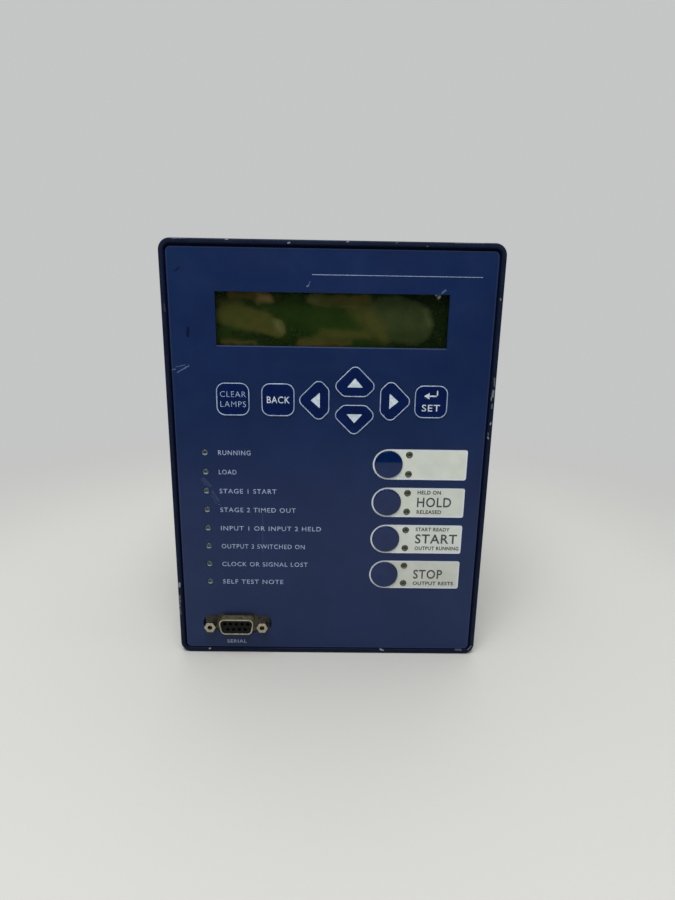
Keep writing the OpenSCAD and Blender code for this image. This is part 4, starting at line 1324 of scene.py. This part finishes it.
# The camera as the photograph's lines give it: place, turns in degrees, lens and film in millimetres
CAMERA_PLACE = Vector((0.15, -313.37, 164.75)) * MM
CAMERA_PITCH = 14.253
CAMERA_YAW = -0.692
CAMERA_ROLL = 0.762
CAMERA_LENS = 22.227
CAMERA_FILM = 36
CAMERA_NEAREST = 0.01


def plain_floor():
    """A pale paper floor that keeps the object's shadow and runs out into the room's tone."""
    deselect()
    bpy.ops.mesh.primitive_plane_add(size=2 * FLOOR_REACH, location=(0, 0, -FLOOR_DROP))
    made = bpy.context.object
    made.name = "floor"
    pale, shader, where = finish(
        "pale paper floor", {"Base Color": srgb("#c2c2be"), "Roughness": 0.8, "Specular IOR Level": 0.2}
    )
    away = node(pale, "VectorMath", {0: where}, operation="LENGTH").outputs["Value"]
    share = node(pale, "MapRange", {"Value": away, "From Min": FLOOR_FADE[0], "From Max": FLOOR_FADE[1]})
    wall = node(pale, "Emission", {"Color": srgb(ROOM_TONE), "Strength": ROOM_SEEN})
    shown = node(pale, "MixShader", {"Fac": share, 1: shader, 2: wall})
    feed(pale, pale.node_tree.nodes["Material Output"], {"Surface": shown})
    made.data.materials.append(pale)


def dark_flag():
    """A dark card behind the camera that only reflections see, where the pale sheet ends in front."""
    deselect()
    bpy.ops.mesh.primitive_plane_add(
        size=FLAG_SIZE, location=(0, SHEET_FRONT, FLAG_SIZE / 2), rotation=(math.radians(90), 0, 0)
    )
    made = bpy.context.object
    made.name = "dark_flag"
    dark = bpy.data.materials.new("dull black card")
    dark.use_nodes = True
    shader = dark.node_tree.nodes["Principled BSDF"]
    feed(dark, shader, {"Base Color": srgb("#1a1a1c"), "Roughness": 0.9})
    made.data.materials.append(dark)
    made.visible_camera = False
    made.visible_diffuse = False
    made.visible_shadow = False


def soft_box(name, place, aim, size, power):
    """A large square lamp that looks at a point."""
    lamp = bpy.data.lights.new(name, "AREA")
    lamp.size = size
    lamp.energy = power
    made = bpy.data.objects.new(name, lamp)
    made.location = place
    made.rotation_mode = "QUATERNION"
    made.rotation_quaternion = (Vector(aim) - Vector(place)).to_track_quat("-Z", "Y")
    bpy.context.scene.collection.objects.link(made)


def room_light():
    """An even pale room, brighter as a background, in reflections and through glass than as a light."""
    world = bpy.data.worlds.new("pale room")
    bpy.context.scene.world = world
    world.use_nodes = True
    path = node(world, "LightPath", {})
    shown = path.outputs["Is Camera Ray"]
    for kind in ("Is Glossy Ray", "Is Transmission Ray"):
        shown = node(world, "Math", {0: shown, 1: path.outputs[kind]}, operation="MAXIMUM")
    strength = node(world, "MapRange", {"Value": shown, "To Min": ROOM_FILL, "To Max": ROOM_SEEN})
    room = world.node_tree.nodes["Background"]
    feed(world, room, {"Color": srgb(ROOM_TONE), "Strength": strength})


def photo_camera():
    """The camera, stood and turned as it was."""
    made = bpy.data.objects.new("camera", bpy.data.cameras.new("camera"))
    bpy.context.scene.collection.objects.link(made)
    made.data.lens = CAMERA_LENS
    made.data.sensor_width = CAMERA_FILM
    made.data.clip_start = CAMERA_NEAREST
    level = Matrix(((1, 0, 0), (0, 0, -1), (0, 1, 0)))
    pitch = Matrix.Rotation(math.radians(CAMERA_PITCH), 3, "X")
    yaw = Matrix.Rotation(math.radians(CAMERA_YAW), 3, "Y")
    roll = Matrix.Rotation(math.radians(CAMERA_ROLL), 3, "Z")
    seen_from = roll @ yaw @ pitch @ level
    axes = Matrix((seen_from[0], -seen_from[1], -seen_from[2])).transposed()
    made.matrix_world = Matrix.Translation(CAMERA_PLACE) @ axes.to_4x4()
    bpy.context.scene.camera = made


plain_floor()
dark_flag()
room_light()
for name, (place, aim, size, power) in SOFT_BOXES.items():
    soft_box(name, place, aim, size, power)
photo_camera()
bpy.context.scene.view_settings.view_transform = "Standard"

deselect()
bpy.context.view_layer.update()
